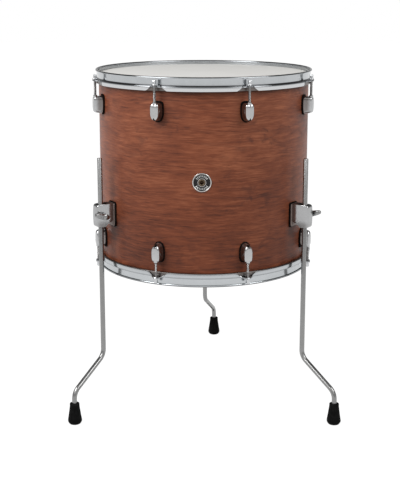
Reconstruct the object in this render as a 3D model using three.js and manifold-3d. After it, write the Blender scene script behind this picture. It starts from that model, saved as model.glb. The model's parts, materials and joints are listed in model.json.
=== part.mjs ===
// A free-standing floor tom: a wooden shell, two heads under flanged hoops, sixteen lugs
// and tension rods, and three bent legs in clamped brackets. Millimetres, +Z up.
// Azimuths are measured about the drum's axis from its front, -Y, towards +X.
import * as THREE from 'three';
import { mergeVertices } from 'three/addons/utils/BufferGeometryUtils.js';
import Module from 'manifold-3d';

const wasm = await Module();
wasm.setup();

// Gaps and cuts
const clearance = 0.3; // between neighbouring pieces
const cutOverrun = 3; // how far a cut runs past the face that it opens

// Shell
const shellRadius = 227.5;
const shellWall = 7.5;
const shellDepth = 406.4;
const shellHeight = 313; // floor to the lower bearing edge
const edgeSetback = 2; // outer face to the peak of the bearing edge
const edgeRound = 1.2; // height of the round between the peak and the outer face
const shellSides = 64;

// Heads: a film over the bearing edge, hooked into a metal ring
const filmThickness = 0.5;
const collarGap = 0.8; // shell to the collar of the film
const collarShoulder = 1; // flat of the film past the peak
const lipReach = 2.8; // how far the hooked lip of the film stands out
const fleshWidth = 6;
const fleshHeight = 8;
const tuningTravel = 1.1; // one turn of the tension rods, up or down

// Hoops
const hoopSheet = 2;
const hoopGap = 0.4; // film collar to the flats of the hoop's standing wall
const hoopRise = 10; // bearing edge to the top of the hoop
const ledgeDrop = 8; // bearing edge to the top of the ledge
const curlReach = 2.7; // how far the top curl stands out past the wall
const curlHeight = 3;
const hoopBreak = 0.8; // small chamfers on the curl and on the ledge
const skirtGap = 0.3; // metal ring to the flats of the skirt
const skirtHeight = 10.5;

// Ears of the hoops
const earOverhang = 6.3; // rod axis to the tip of an ear
const earHalfWidth = 13.5; // at the circle of the tension rods
const earLip = 1; // height of the skirt that is left on an ear
const notchReach = 24.5; // rod axis to where the skirt has its full height again
const earFullness = 2.6; // power of the ear's rounded outline
const earStepShares = [-1, -0.74, -0.42, 0, 0.42, 0.74, 1];
const stepsBetweenEars = 4;

// Tension rods
const lugCount = 8;
const lugPhaseShare = 0.5; // the first lug, as a share of the angle between two lugs
const rodStandoff = 17; // outer face of the shell to the axis of a tension rod
const rodRadius = 2.75;
const rodLength = 48; // under the flange
const rodFlangeRadius = 5.7;
const rodFlangeHeight = 3.2;
const rodHeadWidth = 6.35;
const rodHeadHeight = 8;
const rodTaper = 1.5; // length and height of the point
const rodSides = 8;
const boreSides = 10;
const boreRelief = 1.5; // room under the rod at the end of its travel

// Lugs
const lugDrop = 60; // bearing edge to the middle of a lug
const lugWidth = 21;
const lugHeight = 35;
const lugOverhang = 5; // rod axis to the outer face of a lug
const lugFaceWidth = 16.5; // of the outer face, which is narrower than the body
const lugNose = 2.5; // rounding at the rod end
const lugHeelShares = { straight: 0.42, round: 0.55 };
const lugNotchWidth = 5.2; // of the notch in the heel end of the outer face
const lugNotchHeight = 6.5;
const lugNotchDepth = 5;
const lugOutlineShares = { top: 0.9, side: 1.1, low: 0.62, lowHeight: 0.76, tip: 1.24 };
const lugBaseGrow = 1.5; // how far the foot of a lug stands out all round
const lugBaseThickness = 3;
const lugCollarRadius = 4.4;
const lugCollarHeight = 3;
const outlineSteps = 4;

// Badge and vent grommet
const badgeShare = 0.508; // how far up the shell, as a share of its depth
const badgeRadius = 19.3;
const badgeThickness = 1.2;
const badgeSides = 32;
const grommetRadius = 5.2;
const grommetWall = 1.4;
const grommetFlange = 2.1; // how far the flange stands out past the barrel
const grommetFlangeThickness = 1.2;
const grommetSides = 16;

// Leg brackets
const legAzimuths = [-56.25, 56.25, 180];
const legNames = ['left', 'right', 'rear'];
const legStandoff = 29.5; // outer face of the shell to the axis of a leg rod
const bracketRise = 120; // lower bearing edge to the middle of a bracket
const bracketTall = 48;
const bracketWidth = 24;
const bracketRootWidth = 28;
const bracketNose = 14; // leg axis to the outer face
const bracketCorner = 5;
const bracketBelly = 1.5; // how far the outer face bows out
const bracketHeelShare = 0.55; // how much of the height is left where the body meets its foot
const pocketWidth = 17; // of the hollow in the top of a bracket, round the leg rod
const pocketDepth = 7.5;
const pocketWall = 3.8; // outer face of the bracket to the hollow
const scoopDrop = 9; // middle of the bracket to the top of the scoops in its sides
const scoopDepth = 2.5;
const bracketFootWidth = 30;
const bracketFootTall = 50.4;
const bracketFootThickness = 3;
const bracketFootCorner = 6;
const gasketThickness = 2.6;
const gasketGrow = 2.2; // how far the gasket stands out past the bracket's foot

// Clamp screws, each turned by a lever
const screwRadius = 3.8;
const screwHubRadius = 6.9;
const screwHubGap = 1; // side of the bracket to the hub
const screwHubLength = 14;
const leverLength = 28.5; // screw axis to the tip
const leverHeel = 9; // screw axis to the other end
const leverThickness = 10; // at the hub
const leverTipThickness = 4.6;
const leverStandoff = 3.6; // side of the bracket to the lever, at the hub
const leverTipStandoff = 8.5;
const leverTipWidth = 5.8;
const leverHeelWidth = 6;
const leverTilt = 15; // degrees, with the tip up
const leverRootShare = 0.2; // how far along the lever keeps its full thickness
const screwSides = 12;

// Legs
const legRadius = 5.25;
const legTopHeight = 554;
const legUpperBend = 124; // floor to the corner of the upper bend
const legLowerBend = 68; // floor to the corner of the lower bend
const legOffset = 94; // leg rod to its foot, sideways
const legBendRadius = 25;
const legEndHeight = 10; // floor to the lower end of the rod, inside its foot
const legChamfer = 1;
const footAzimuths = [-35, 43, 166];
const legSides = 10;
const bendSteps = 5;

// Rubber feet
const footHeight = 45;
const footTopRadius = 10;
const footWideRadius = 14.75;
const footWideHeight = 9.5;
const footSoleRadius = 11;
const footSoleHeight = 3;
const footNeckHeight = 5.5; // plain collar above the flutes
const footEdge = 1; // chamfer of the collar
const footFlutes = 12;
const footFluteRadius = 2;
const footFluteDepth = 0.9;
const footFluteSides = 6;
const footSides = 24;

// Finishes
const stainedWood = { color: 0x7d4c3b, roughness: 0.45, metalness: 0 };
const chrome = { color: 0xc6c9cc, roughness: 0.15, metalness: 1 };
const castChrome = { color: 0xb4b7ba, roughness: 0.22, metalness: 1 };
const whiteFilm = { color: 0xd0d1cc, roughness: 0.55, metalness: 0 };
const clearFilm = { color: 0xdcdfe0, roughness: 0.2, metalness: 0 };
const bareAluminium = { color: 0xa9adb0, roughness: 0.4, metalness: 1 };
const blackRubber = { color: 0x17171a, roughness: 0.75, metalness: 0 };
const darkGasket = { color: 0x1e1412, roughness: 0.8, metalness: 0 };
const badgeMetal = { color: 0x8f9092, roughness: 0.3, metalness: 1 };
const bronze = { color: 0x8c6a45, roughness: 0.35, metalness: 1 };

// Places that follow from the sizes above
const shellTop = shellHeight + shellDepth;
const badgeHeight = shellHeight + badgeShare * shellDepth;
const bracketHeight = shellHeight + bracketRise;
const rodCircle = shellRadius + rodStandoff;
const earReach = rodCircle + earOverhang;
const lugReach = rodStandoff + lugOverhang;
const legCircle = shellRadius + legStandoff;
const shellInner = shellRadius - shellWall;
const edgeRadius = shellRadius - edgeSetback;
const edgeDrop = edgeRadius - shellInner;
const collarInner = shellRadius + collarGap;
const collarOuter = collarInner + filmThickness;
const lipRadius = collarInner + lipReach;
const lugPitch = 2 * Math.PI / lugCount;
const earAngle = earHalfWidth / rodCircle;
const notchAngle = notchReach / rodCircle;
const hoopStep = (lugPitch - 2 * notchAngle) / (stepsBetweenEars + 1);
const hoopFlatShare = Math.cos(hoopStep / 2);
const hoopInner = (collarOuter + hoopGap) / hoopFlatShare;
const hoopOuter = hoopInner + hoopSheet;
const ledgeUnder = -ledgeDrop - hoopSheet;
const fleshInner = collarOuter + clearance;
const fleshOuter = fleshInner + fleshWidth;
const fleshTop = ledgeUnder - clearance;
const fleshBottom = fleshTop - fleshHeight;
const lipMiddle = (fleshTop + fleshBottom) / 2;
const skirtInner = (fleshOuter + skirtGap) / hoopFlatShare;
const skirtOuter = skirtInner + hoopSheet;
const rodSeat = -ledgeDrop + clearance;
const rodEnd = rodSeat - rodLength;
const boreRadius = (rodRadius + clearance) / Math.cos(Math.PI / boreSides);
const ventRadius = (grommetRadius + clearance) / Math.cos(Math.PI / grommetSides);
const badgeInner = shellRadius + clearance;
const badgeOuter = badgeInner + badgeThickness;
const gasketInner = shellRadius + clearance;
const gasketOuter = gasketInner + gasketThickness;
const bracketInner = gasketOuter + clearance;
const legBore = (legRadius + clearance) / Math.cos(Math.PI / legSides);

function radians(degrees) {
  return THREE.MathUtils.degToRad(degrees);
}

// Solids and booleans

function merged(geometry) {
  const plain = geometry.clone();
  plain.deleteAttribute('normal');
  plain.deleteAttribute('uv');
  const joined = mergeVertices(plain);
  const corners = joined.index.array;
  const kept = [];
  for (let i = 0; i < corners.length; i += 3) {
    const [a, b, c] = [corners[i], corners[i + 1], corners[i + 2]];
    if (a !== b && b !== c && c !== a) {
      kept.push(a, b, c);
    }
  }
  joined.setIndex(kept);
  return joined;
}

function solid(geometry) {
  const closed = merged(geometry);
  return new wasm.Manifold(new wasm.Mesh({
    numProp: 3,
    vertProperties: new Float32Array(closed.attributes.position.array),
    triVerts: new Uint32Array(closed.index.array),
  }));
}

function shapeOf(body) {
  const mesh = body.getMesh();
  const geometry = new THREE.BufferGeometry();
  geometry.setAttribute('position', new THREE.BufferAttribute(mesh.vertProperties, 3));
  geometry.setIndex(new THREE.BufferAttribute(mesh.triVerts, 1));
  return geometry;
}

function cut(geometry, ...tools) {
  return shapeOf(tools.reduce((body, tool) => body.subtract(solid(tool)), solid(geometry)));
}

function joined(geometry, ...others) {
  return shapeOf(others.reduce((body, other) => body.add(solid(other)), solid(geometry)));
}

function common(geometry, other) {
  return shapeOf(solid(geometry).intersect(solid(other)));
}

// Basic forms

// Turns points of radius and height about Z, with its corners at azimuth 0 and on
function turned(points, sides) {
  const onAxis = points[0][0] === 0;
  const outline = points.map(([radius, height]) => new THREE.Vector2(radius, height));
  if (!onAxis) {
    outline.push(outline[0].clone());
  }
  return new THREE.LatheGeometry(outline, sides).rotateX(Math.PI / 2);
}

function cylinder(radius, low, high, sides) {
  return turned([[0, low], [radius, low], [radius, high], [0, high]], sides);
}

// The same, lying along X from one place to the other
function crossCylinder(radius, start, end, sides) {
  return cylinder(radius, start, end, sides).rotateY(Math.PI / 2);
}

// The same, lying along the outward radius at azimuth 0
function outwardCylinder(radius, start, end, sides) {
  return cylinder(radius, start, end, sides).rotateX(Math.PI / 2);
}

function ring(inner, outer, low, high, sides) {
  return turned([[outer, low], [outer, high], [inner, high], [inner, low]], sides);
}

function extruded(shape, depth) {
  return new THREE.ExtrudeGeometry(shape, {
    depth, bevelEnabled: false, curveSegments: outlineSteps,
  });
}

// An outline of radius and height, given a width across azimuth 0
function acrossProfile(shape, width) {
  const frame = new THREE.Matrix4().makeBasis(
    new THREE.Vector3(0, -1, 0),
    new THREE.Vector3(0, 0, 1),
    new THREE.Vector3(-1, 0, 0),
  );
  frame.setPosition(width / 2, 0, 0);
  return extruded(shape, width).applyMatrix4(frame);
}

// An outline seen from the front, reaching from one radius to another
function frontOutline(shape, start, end) {
  return extruded(shape, end - start).rotateX(Math.PI / 2).translate(0, -start, 0);
}

function roundedRectangle(width, height, corner) {
  const x = width / 2;
  const y = height / 2;
  const shape = new THREE.Shape();
  shape.moveTo(-x + corner, -y);
  shape.lineTo(x - corner, -y);
  shape.quadraticCurveTo(x, -y, x, -y + corner);
  shape.lineTo(x, y - corner);
  shape.quadraticCurveTo(x, y, x - corner, y);
  shape.lineTo(-x + corner, y);
  shape.quadraticCurveTo(-x, y, -x, y - corner);
  shape.lineTo(-x, -y + corner);
  shape.quadraticCurveTo(-x, -y, -x + corner, -y);
  return shape;
}

// Shell, with a bearing edge at both ends and the vent hole

function makeShell() {
  const body = turned([
    [edgeRadius, shellHeight],
    [shellRadius, shellHeight + edgeRound],
    [shellRadius, shellTop - edgeRound],
    [edgeRadius, shellTop],
    [shellInner, shellTop - edgeDrop],
    [shellInner, shellHeight + edgeDrop],
  ], shellSides);
  const vent = outwardCylinder(
    ventRadius, shellInner - cutOverrun, shellRadius + cutOverrun, grommetSides,
  );
  return cut(body, vent.translate(0, 0, badgeHeight));
}

// Heads, measured from the plane of the bearing edge

function makeFilm() {
  const lip = lipMiddle - filmThickness / 2;
  const top = clearance + filmThickness;
  const shoulder = edgeRadius + collarShoulder;
  return turned([
    [0, clearance],
    [shoulder, clearance],
    [collarInner, -edgeRound],
    [collarInner, lip],
    [lipRadius, lip],
    [lipRadius, lip + filmThickness],
    [collarOuter, lip + filmThickness],
    [collarOuter, -edgeRound + filmThickness / 2],
    [shoulder + filmThickness / 2, top],
    [0, top],
  ], shellSides);
}

function makeFleshHoop() {
  const groove = filmThickness / 2 + tuningTravel + clearance;
  const grooveRadius = lipRadius + clearance;
  return turned([
    [fleshInner, fleshBottom],
    [fleshOuter, fleshBottom],
    [fleshOuter, fleshTop],
    [fleshInner, fleshTop],
    [fleshInner, lipMiddle + groove],
    [grooveRadius, lipMiddle + groove],
    [grooveRadius, lipMiddle - groove],
    [fleshInner, lipMiddle - groove],
  ], shellSides);
}

// Hoop: a pressed section that goes round the drum and swells out into eight ears

function hoopSection({ swell, full }) {
  const out = swell * (earReach - skirtOuter);
  const skirtEnd = full ? -ledgeDrop - skirtHeight : ledgeUnder - earLip;
  return [
    [hoopInner, ledgeUnder],
    [skirtInner + out, ledgeUnder],
    [skirtInner + out, skirtEnd],
    [skirtOuter + out, skirtEnd],
    [skirtOuter + out, -ledgeDrop - hoopBreak],
    [skirtOuter + out - hoopBreak, -ledgeDrop],
    [hoopOuter, -ledgeDrop],
    [hoopOuter, hoopRise - curlHeight],
    [hoopOuter + curlReach, hoopRise - curlHeight + hoopBreak],
    [hoopOuter + curlReach, hoopRise - hoopBreak],
    [hoopOuter + curlReach - hoopBreak, hoopRise],
    [hoopInner, hoopRise],
  ];
}

// Azimuth and swell of each section of the hoop, close together at the ears, where the
// skirt is cut away between its full stretches
function hoopStations() {
  const stations = [];
  for (let ear = 0; ear < lugCount; ear += 1) {
    const middle = (ear + lugPhaseShare) * lugPitch;
    stations.push({ azimuth: middle - notchAngle, swell: 0, full: true });
    for (const share of earStepShares) {
      const swell = 1 - Math.abs(share) ** earFullness;
      stations.push({ azimuth: middle + share * earAngle, swell, full: false });
    }
    for (let step = 0; step <= stepsBetweenEars; step += 1) {
      stations.push({ azimuth: middle + notchAngle + step * hoopStep, swell: 0, full: true });
    }
  }
  return stations;
}

function makeHoop() {
  const stations = hoopStations();
  const corners = [];
  const faces = [];
  const count = hoopSection(stations[0]).length;
  stations.forEach((place, station) => {
    const next = (station + 1) % stations.length;
    const across = Math.sin(place.azimuth);
    const ahead = Math.cos(place.azimuth);
    hoopSection(place).forEach(([radius, height], point) => {
      corners.push(radius * across, -radius * ahead, height);
      const a = station * count + point;
      const b = next * count + point;
      const c = next * count + (point + 1) % count;
      const d = station * count + (point + 1) % count;
      faces.push(a, b, d, c, d, b);
    });
  });
  const body = new THREE.BufferGeometry();
  body.setAttribute('position', new THREE.Float32BufferAttribute(corners, 3));
  body.setIndex(faces);
  const holes = [];
  for (let ear = 0; ear < lugCount; ear += 1) {
    const hole = cylinder(boreRadius, ledgeUnder - cutOverrun, cutOverrun - ledgeDrop, boreSides);
    hole.translate(0, -rodCircle, 0);
    hole.rotateZ((ear + lugPhaseShare) * lugPitch);
    holes.push(hole);
  }
  return cut(body, ...holes);
}

// Tension rod: shaft, flange and square head, about its own axis

function makeRod() {
  const flangeTop = rodSeat + rodFlangeHeight;
  const shaft = turned([
    [0, rodEnd],
    [rodRadius - rodTaper, rodEnd],
    [rodRadius, rodEnd + rodTaper],
    [rodRadius, rodSeat],
    [rodFlangeRadius, rodSeat],
    [rodFlangeRadius, flangeTop - rodTaper],
    [rodFlangeRadius - rodTaper, flangeTop],
    [0, flangeTop],
  ], rodSides);
  const head = new THREE.BoxGeometry(rodHeadWidth, rodHeadWidth, rodHeadHeight + rodTaper);
  head.translate(0, 0, flangeTop - rodTaper + (rodHeadHeight + rodTaper) / 2);
  return joined(shaft, head);
}

// Lug: a casting with a flat rod end and a rounded heel, hollowed to the shell

function lugFront(grow) {
  const half = lugWidth / 2 + grow;
  const end = lugHeight / 2 + grow;
  const { top, side, low, lowHeight, tip } = lugOutlineShares;
  const shape = new THREE.Shape();
  shape.moveTo(half * top, end);
  shape.lineTo(-half * top, end);
  shape.quadraticCurveTo(-half * side, 0, -half * low, -end * lowHeight);
  shape.quadraticCurveTo(0, -end * tip, half * low, -end * lowHeight);
  shape.quadraticCurveTo(half * side, 0, half * top, end);
  return shape;
}

function lugSide() {
  const inner = shellRadius - cutOverrun;
  const outer = shellRadius + lugReach;
  const end = lugHeight / 2;
  const shape = new THREE.Shape();
  shape.moveTo(inner, end);
  shape.lineTo(outer - lugNose, end);
  shape.quadraticCurveTo(outer, end, outer, end - lugNose);
  shape.lineTo(outer, -end * lugHeelShares.straight);
  shape.quadraticCurveTo(outer, -end, outer - lugReach * lugHeelShares.round, -end);
  shape.lineTo(inner, -end);
  return shape;
}

// The body seen from the rod end, narrowing from the shell to its outer face
function lugPlan() {
  const inner = shellRadius - cutOverrun;
  const outer = shellRadius + lugReach + cutOverrun;
  const shape = new THREE.Shape();
  shape.moveTo(-lugWidth, -inner);
  shape.lineTo(-lugFaceWidth / 2, -outer);
  shape.lineTo(lugFaceWidth / 2, -outer);
  shape.lineTo(lugWidth, -inner);
  return shape;
}

// The notch that tapers from the heel into the outer face
function lugNotch() {
  const outer = shellRadius + lugReach;
  const heel = -lugHeight / 2;
  const half = lugNotchWidth / 2;
  const shape = new THREE.Shape();
  shape.moveTo(-half, heel);
  shape.lineTo(half, heel);
  shape.lineTo(half, heel + lugNotchHeight);
  shape.lineTo(0, heel + 2 * lugNotchHeight);
  shape.lineTo(-half, heel + lugNotchHeight);
  return frontOutline(shape, outer - lugNotchDepth, outer + cutOverrun);
}

function makeLug() {
  const inner = shellRadius - cutOverrun;
  const seat = shellRadius + clearance;
  const tall = lugHeight + cutOverrun;
  const casting = common(
    common(
      acrossProfile(lugSide(), lugWidth + lugNose),
      frontOutline(lugFront(0), inner, shellRadius + lugReach + cutOverrun),
    ),
    extruded(lugPlan(), tall).translate(0, 0, -tall / 2),
  );
  const foot = frontOutline(lugFront(lugBaseGrow), inner, seat + lugBaseThickness);
  const collar = cylinder(
    lugCollarRadius, lugHeight / 2 - lugCollarHeight, lugHeight / 2 + lugCollarHeight, boreSides,
  ).translate(0, -rodCircle, 0);
  const reach = lugHeight + lugBaseGrow + cutOverrun;
  const shell = cylinder(seat, -reach, reach, shellSides);
  const boreEnd = rodEnd - tuningTravel - boreRelief + lugDrop;
  const bore = cylinder(boreRadius, boreEnd, lugHeight, boreSides).translate(0, -rodCircle, 0);
  const body = joined(casting, foot, collar);
  return cut(body, shell, bore, lugNotch()).translate(0, 0, -lugDrop);
}

// Badge, curved to the shell, and the hollow grommet that holds it

function makeBadge() {
  const disc = outwardCylinder(
    badgeRadius, shellRadius - cutOverrun, badgeOuter + cutOverrun, badgeSides,
  );
  const hole = outwardCylinder(
    ventRadius, shellRadius - cutOverrun, badgeOuter + cutOverrun, grommetSides,
  );
  const skin = ring(badgeInner, badgeOuter, -2 * badgeRadius, 2 * badgeRadius, shellSides);
  return cut(common(disc, skin), hole);
}

function makeGrommet() {
  const bore = grommetRadius - grommetWall;
  const flange = grommetRadius + grommetFlange;
  const front = badgeOuter + clearance;
  const sag = flange * Math.tan(Math.PI / shellSides);
  const back = shellInner - clearance - sag;
  return turned([
    [bore, back - grommetFlangeThickness],
    [flange, back - grommetFlangeThickness],
    [flange, back],
    [grommetRadius, back],
    [grommetRadius, front],
    [flange, front],
    [grommetRadius, front + grommetFlangeThickness],
    [bore, front + grommetFlangeThickness],
  ], grommetSides).rotateX(Math.PI / 2);
}

// Leg bracket: foot, body, leg bore and the hole of the clamp screw

function bracketSide() {
  const half = bracketTall / 2;
  const outer = legCircle + bracketNose;
  const inner = shellRadius;
  const shape = new THREE.Shape();
  shape.moveTo(inner, half);
  shape.lineTo(outer - bracketCorner, half);
  shape.quadraticCurveTo(outer - bracketBelly, half, outer - bracketBelly, half - bracketCorner);
  shape.quadraticCurveTo(
    outer + bracketBelly, 0, outer - bracketBelly, bracketCorner - half,
  );
  shape.quadraticCurveTo(outer - bracketBelly, -half, outer - bracketCorner, -half);
  shape.lineTo(legCircle - legRadius, -half);
  shape.quadraticCurveTo(
    legCircle - bracketNose, -half * bracketHeelShare, inner, -half * bracketHeelShare,
  );
  return shape;
}

function bracketPlan() {
  const root = bracketRootWidth / 2;
  const half = bracketWidth / 2;
  const outer = legCircle + bracketNose + bracketBelly;
  const shape = new THREE.Shape();
  shape.moveTo(-root, -shellRadius);
  shape.lineTo(-half, -legCircle + bracketNose);
  shape.lineTo(-half, -outer + bracketCorner);
  shape.quadraticCurveTo(-half, -outer, -half + bracketCorner, -outer);
  shape.lineTo(half - bracketCorner, -outer);
  shape.quadraticCurveTo(half, -outer, half, -outer + bracketCorner);
  shape.lineTo(half, -legCircle + bracketNose);
  shape.lineTo(root, -shellRadius);
  return shape;
}

// The hollow in the top of the bracket, open on the way to its foot
function bracketPocket() {
  const outer = legCircle + bracketNose - pocketWall;
  const inner = bracketInner + bracketFootThickness;
  const floor = bracketTall / 2 - pocketDepth;
  const pocket = new THREE.BoxGeometry(pocketWidth, outer - inner, pocketDepth + cutOverrun);
  return pocket.translate(0, -(inner + outer) / 2, floor + (pocketDepth + cutOverrun) / 2);
}

// The shallow scoops in the sides, which leave the outer face at its full width
function bracketScoop(side) {
  const outer = legCircle + bracketNose - bracketCorner;
  const inner = legCircle - bracketNose;
  const low = -bracketTall / 2 - cutOverrun;
  const width = scoopDepth + cutOverrun;
  const scoop = new THREE.BoxGeometry(width, outer - inner, -scoopDrop - low);
  const across = bracketWidth / 2 - scoopDepth + width / 2;
  return scoop.translate(side * across, -(inner + outer) / 2, (low - scoopDrop) / 2);
}

function makeBracket() {
  const tall = bracketTall + cutOverrun;
  const body = common(
    acrossProfile(bracketSide(), bracketRootWidth + bracketCorner),
    extruded(bracketPlan(), tall).translate(0, 0, -tall / 2),
  );
  const outline = roundedRectangle(bracketFootWidth, bracketFootTall, bracketFootCorner);
  const foot = common(
    frontOutline(outline, shellRadius - cutOverrun, legCircle),
    ring(
      shellRadius - cutOverrun, bracketInner + bracketFootThickness,
      -bracketFootTall, bracketFootTall, shellSides,
    ),
  );
  const back = cylinder(bracketInner, -bracketFootTall, bracketFootTall, shellSides);
  const bore = cylinder(legBore, -bracketTall, bracketTall, legSides).translate(0, -legCircle, 0);
  const hole = crossCylinder(
    (screwRadius + clearance) / Math.cos(Math.PI / screwSides),
    0, bracketRootWidth / 2 + cutOverrun, screwSides,
  ).translate(0, -legCircle, 0);
  const scoops = [-1, 1].map(bracketScoop);
  return cut(joined(body, foot), back, bore, hole, bracketPocket(), ...scoops);
}

function makeGasket() {
  const outline = roundedRectangle(
    bracketFootWidth + 2 * gasketGrow, bracketFootTall + 2 * gasketGrow, bracketFootCorner,
  );
  return common(
    frontOutline(outline, shellRadius - cutOverrun, legCircle),
    ring(gasketInner, gasketOuter, -bracketFootTall, bracketFootTall, shellSides),
  );
}

// Clamp screw, about its own axis along X, with a lever that points outwards

function leverPlan() {
  const near = bracketWidth / 2 + leverStandoff;
  const far = bracketWidth / 2 + screwHubGap + screwHubLength;
  const tipNear = bracketWidth / 2 + leverTipStandoff;
  const heelMiddle = (near + far) / 2;
  const shape = new THREE.Shape();
  shape.moveTo(near, 0);
  shape.lineTo(tipNear, -leverLength + leverTipWidth / 2);
  shape.quadraticCurveTo(tipNear, -leverLength, tipNear + leverTipWidth / 2, -leverLength);
  shape.quadraticCurveTo(far, -leverLength, far, -leverLength + leverTipWidth / 2);
  shape.lineTo(far, 0);
  shape.lineTo(heelMiddle + leverHeelWidth / 2, leverHeel);
  shape.lineTo(heelMiddle - leverHeelWidth / 2, leverHeel);
  return shape;
}

function leverSide() {
  const thick = leverThickness / 2;
  const thin = leverTipThickness / 2;
  const root = leverLength * leverRootShare;
  const shape = new THREE.Shape();
  shape.moveTo(-leverHeel - cutOverrun, -thick);
  shape.lineTo(root, -thick);
  shape.lineTo(leverLength + cutOverrun, -thin);
  shape.lineTo(leverLength + cutOverrun, thin);
  shape.lineTo(root, thick);
  shape.lineTo(-leverHeel - cutOverrun, thick);
  return shape;
}

function makeClampScrew() {
  const face = bracketWidth / 2 + screwHubGap;
  const hubEnd = face + screwHubLength;
  const tall = leverThickness + cutOverrun;
  const lever = common(
    extruded(leverPlan(), tall).translate(0, 0, -tall / 2),
    acrossProfile(leverSide(), 2 * hubEnd + cutOverrun),
  );
  return joined(
    crossCylinder(screwRadius, legRadius + clearance, hubEnd, screwSides),
    crossCylinder(screwHubRadius, face, hubEnd, screwSides),
    lever.rotateX(-radians(leverTilt)),
  );
}

// Leg rod: a bent bar, its plane holding the vertical and the way to the foot

function legStations() {
  const slope = Math.atan2(legUpperBend - legLowerBend, legOffset);
  const bend = Math.PI / 2 - slope;
  const setback = legBendRadius * Math.tan(bend / 2);
  const stations = [
    { out: 0, up: legTopHeight, turn: 0, radius: legRadius - legChamfer },
    { out: 0, up: legTopHeight - legChamfer, turn: 0, radius: legRadius },
  ];
  for (let step = 0; step <= bendSteps; step += 1) {
    const turn = bend * step / bendSteps;
    stations.push({
      out: legBendRadius * (1 - Math.cos(turn)),
      up: legUpperBend + setback - legBendRadius * Math.sin(turn),
      turn,
      radius: legRadius,
    });
  }
  for (let step = bendSteps; step >= 0; step -= 1) {
    const turn = bend * step / bendSteps;
    stations.push({
      out: legOffset - legBendRadius * (1 - Math.cos(turn)),
      up: legLowerBend - setback + legBendRadius * Math.sin(turn),
      turn,
      radius: legRadius,
    });
  }
  stations.push({ out: legOffset, up: legEndHeight + legChamfer, turn: 0, radius: legRadius });
  stations.push({ out: legOffset, up: legEndHeight, turn: 0, radius: legRadius - legChamfer });
  return stations;
}

// The bar bends towards -Y; turn is the angle that it has left the vertical by
function makeLeg() {
  const stations = legStations();
  const corners = [];
  const faces = [];
  for (const { out, up, turn, radius } of stations) {
    for (let side = 0; side < legSides; side += 1) {
      const angle = 2 * Math.PI * side / legSides;
      const across = radius * Math.sin(angle);
      const along = radius * Math.cos(angle);
      corners.push(across, -out - along * Math.cos(turn), up + along * Math.sin(turn));
    }
  }
  const last = (stations.length - 1) * legSides;
  for (let side = 0; side < legSides; side += 1) {
    const next = (side + 1) % legSides;
    for (let row = 0; row < last; row += legSides) {
      faces.push(row + side, row + legSides + side, row + next);
      faces.push(row + next, row + legSides + side, row + legSides + next);
    }
    if (side > 0 && next > 0) {
      faces.push(0, side, next);
      faces.push(last, last + next, last + side);
    }
  }
  const geometry = new THREE.BufferGeometry();
  geometry.setAttribute('position', new THREE.Float32BufferAttribute(corners, 3));
  geometry.setIndex(faces);
  return geometry;
}

// Rubber foot: a fluted cone over the end of the leg rod

function makeFoot() {
  const socket = legBore;
  const floor = legEndHeight - clearance;
  const neck = footHeight - footNeckHeight;
  const cone = turned([
    [0, 0],
    [footSoleRadius, 0],
    [footWideRadius, footSoleHeight],
    [footWideRadius, footWideHeight],
    [footTopRadius, neck],
    [footTopRadius, footHeight - footEdge],
    [footTopRadius - footEdge, footHeight],
    [socket, footHeight],
    [socket, floor],
    [0, floor],
  ], footSides);
  const rise = neck - footWideHeight;
  const lean = Math.atan2(footWideRadius - footTopRadius, rise);
  const length = rise - 2 * footEdge;
  const out = (footWideRadius + footTopRadius) / 2 + footFluteRadius - footFluteDepth;
  const flutes = [];
  for (let place = 0; place < footFlutes; place += 1) {
    const flute = cylinder(footFluteRadius, -length / 2, length / 2, footFluteSides);
    flute.rotateX(-lean);
    flute.translate(0, -out, footWideHeight + rise / 2);
    flutes.push(flute.rotateZ((place + 1 / 2) * 2 * Math.PI / footFlutes));
  }
  return cut(cone, ...flutes);
}

// Assembly

const drum = new THREE.Group();

function add(parent, name, geometry, finish) {
  const mesh = new THREE.Mesh(geometry, new THREE.MeshStandardMaterial(finish));
  mesh.name = name;
  parent.add(mesh);
  return mesh;
}

add(drum, 'shell', makeShell(), stainedWood);
add(drum, 'badge', makeBadge(), badgeMetal).position.z = badgeHeight;
add(drum, 'vent_grommet', makeGrommet(), bronze).position.z = badgeHeight;

const film = makeFilm();
const fleshHoop = makeFleshHoop();
const hoop = makeHoop();
const lug = makeLug();
const rod = makeRod();

// Both ends are alike; the lower one is turned over, which mirrors its azimuths
const ends = [
  { name: 'batter', height: shellTop, turn: 0, finish: whiteFilm },
  { name: 'resonant', height: shellHeight, turn: Math.PI, finish: clearFilm },
];
for (const { name, height, turn, finish } of ends) {
  const end = new THREE.Group();
  end.position.z = height;
  end.rotation.x = turn;
  drum.add(end);
  add(end, `${name}_head`, film, finish);
  add(end, `${name}_flesh_hoop`, fleshHoop, bareAluminium);
  add(end, `${name}_hoop`, hoop, chrome);
  for (let place = 0; place < lugCount; place += 1) {
    const azimuth = (place + lugPhaseShare) * lugPitch;
    const local = turn === 0 ? azimuth : Math.PI - azimuth;
    add(end, `${name}_lug_${place + 1}`, lug, castChrome).rotation.z = local;
    const rodMesh = add(end, `${name}_rod_${place + 1}`, rod, chrome);
    rodMesh.position.set(rodCircle * Math.sin(local), -rodCircle * Math.cos(local), 0);
    rodMesh.rotation.z = local;
  }
}

const bracket = makeBracket();
const gasket = makeGasket();
const clampScrew = makeClampScrew();
const leg = makeLeg();
const foot = makeFoot();

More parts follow.
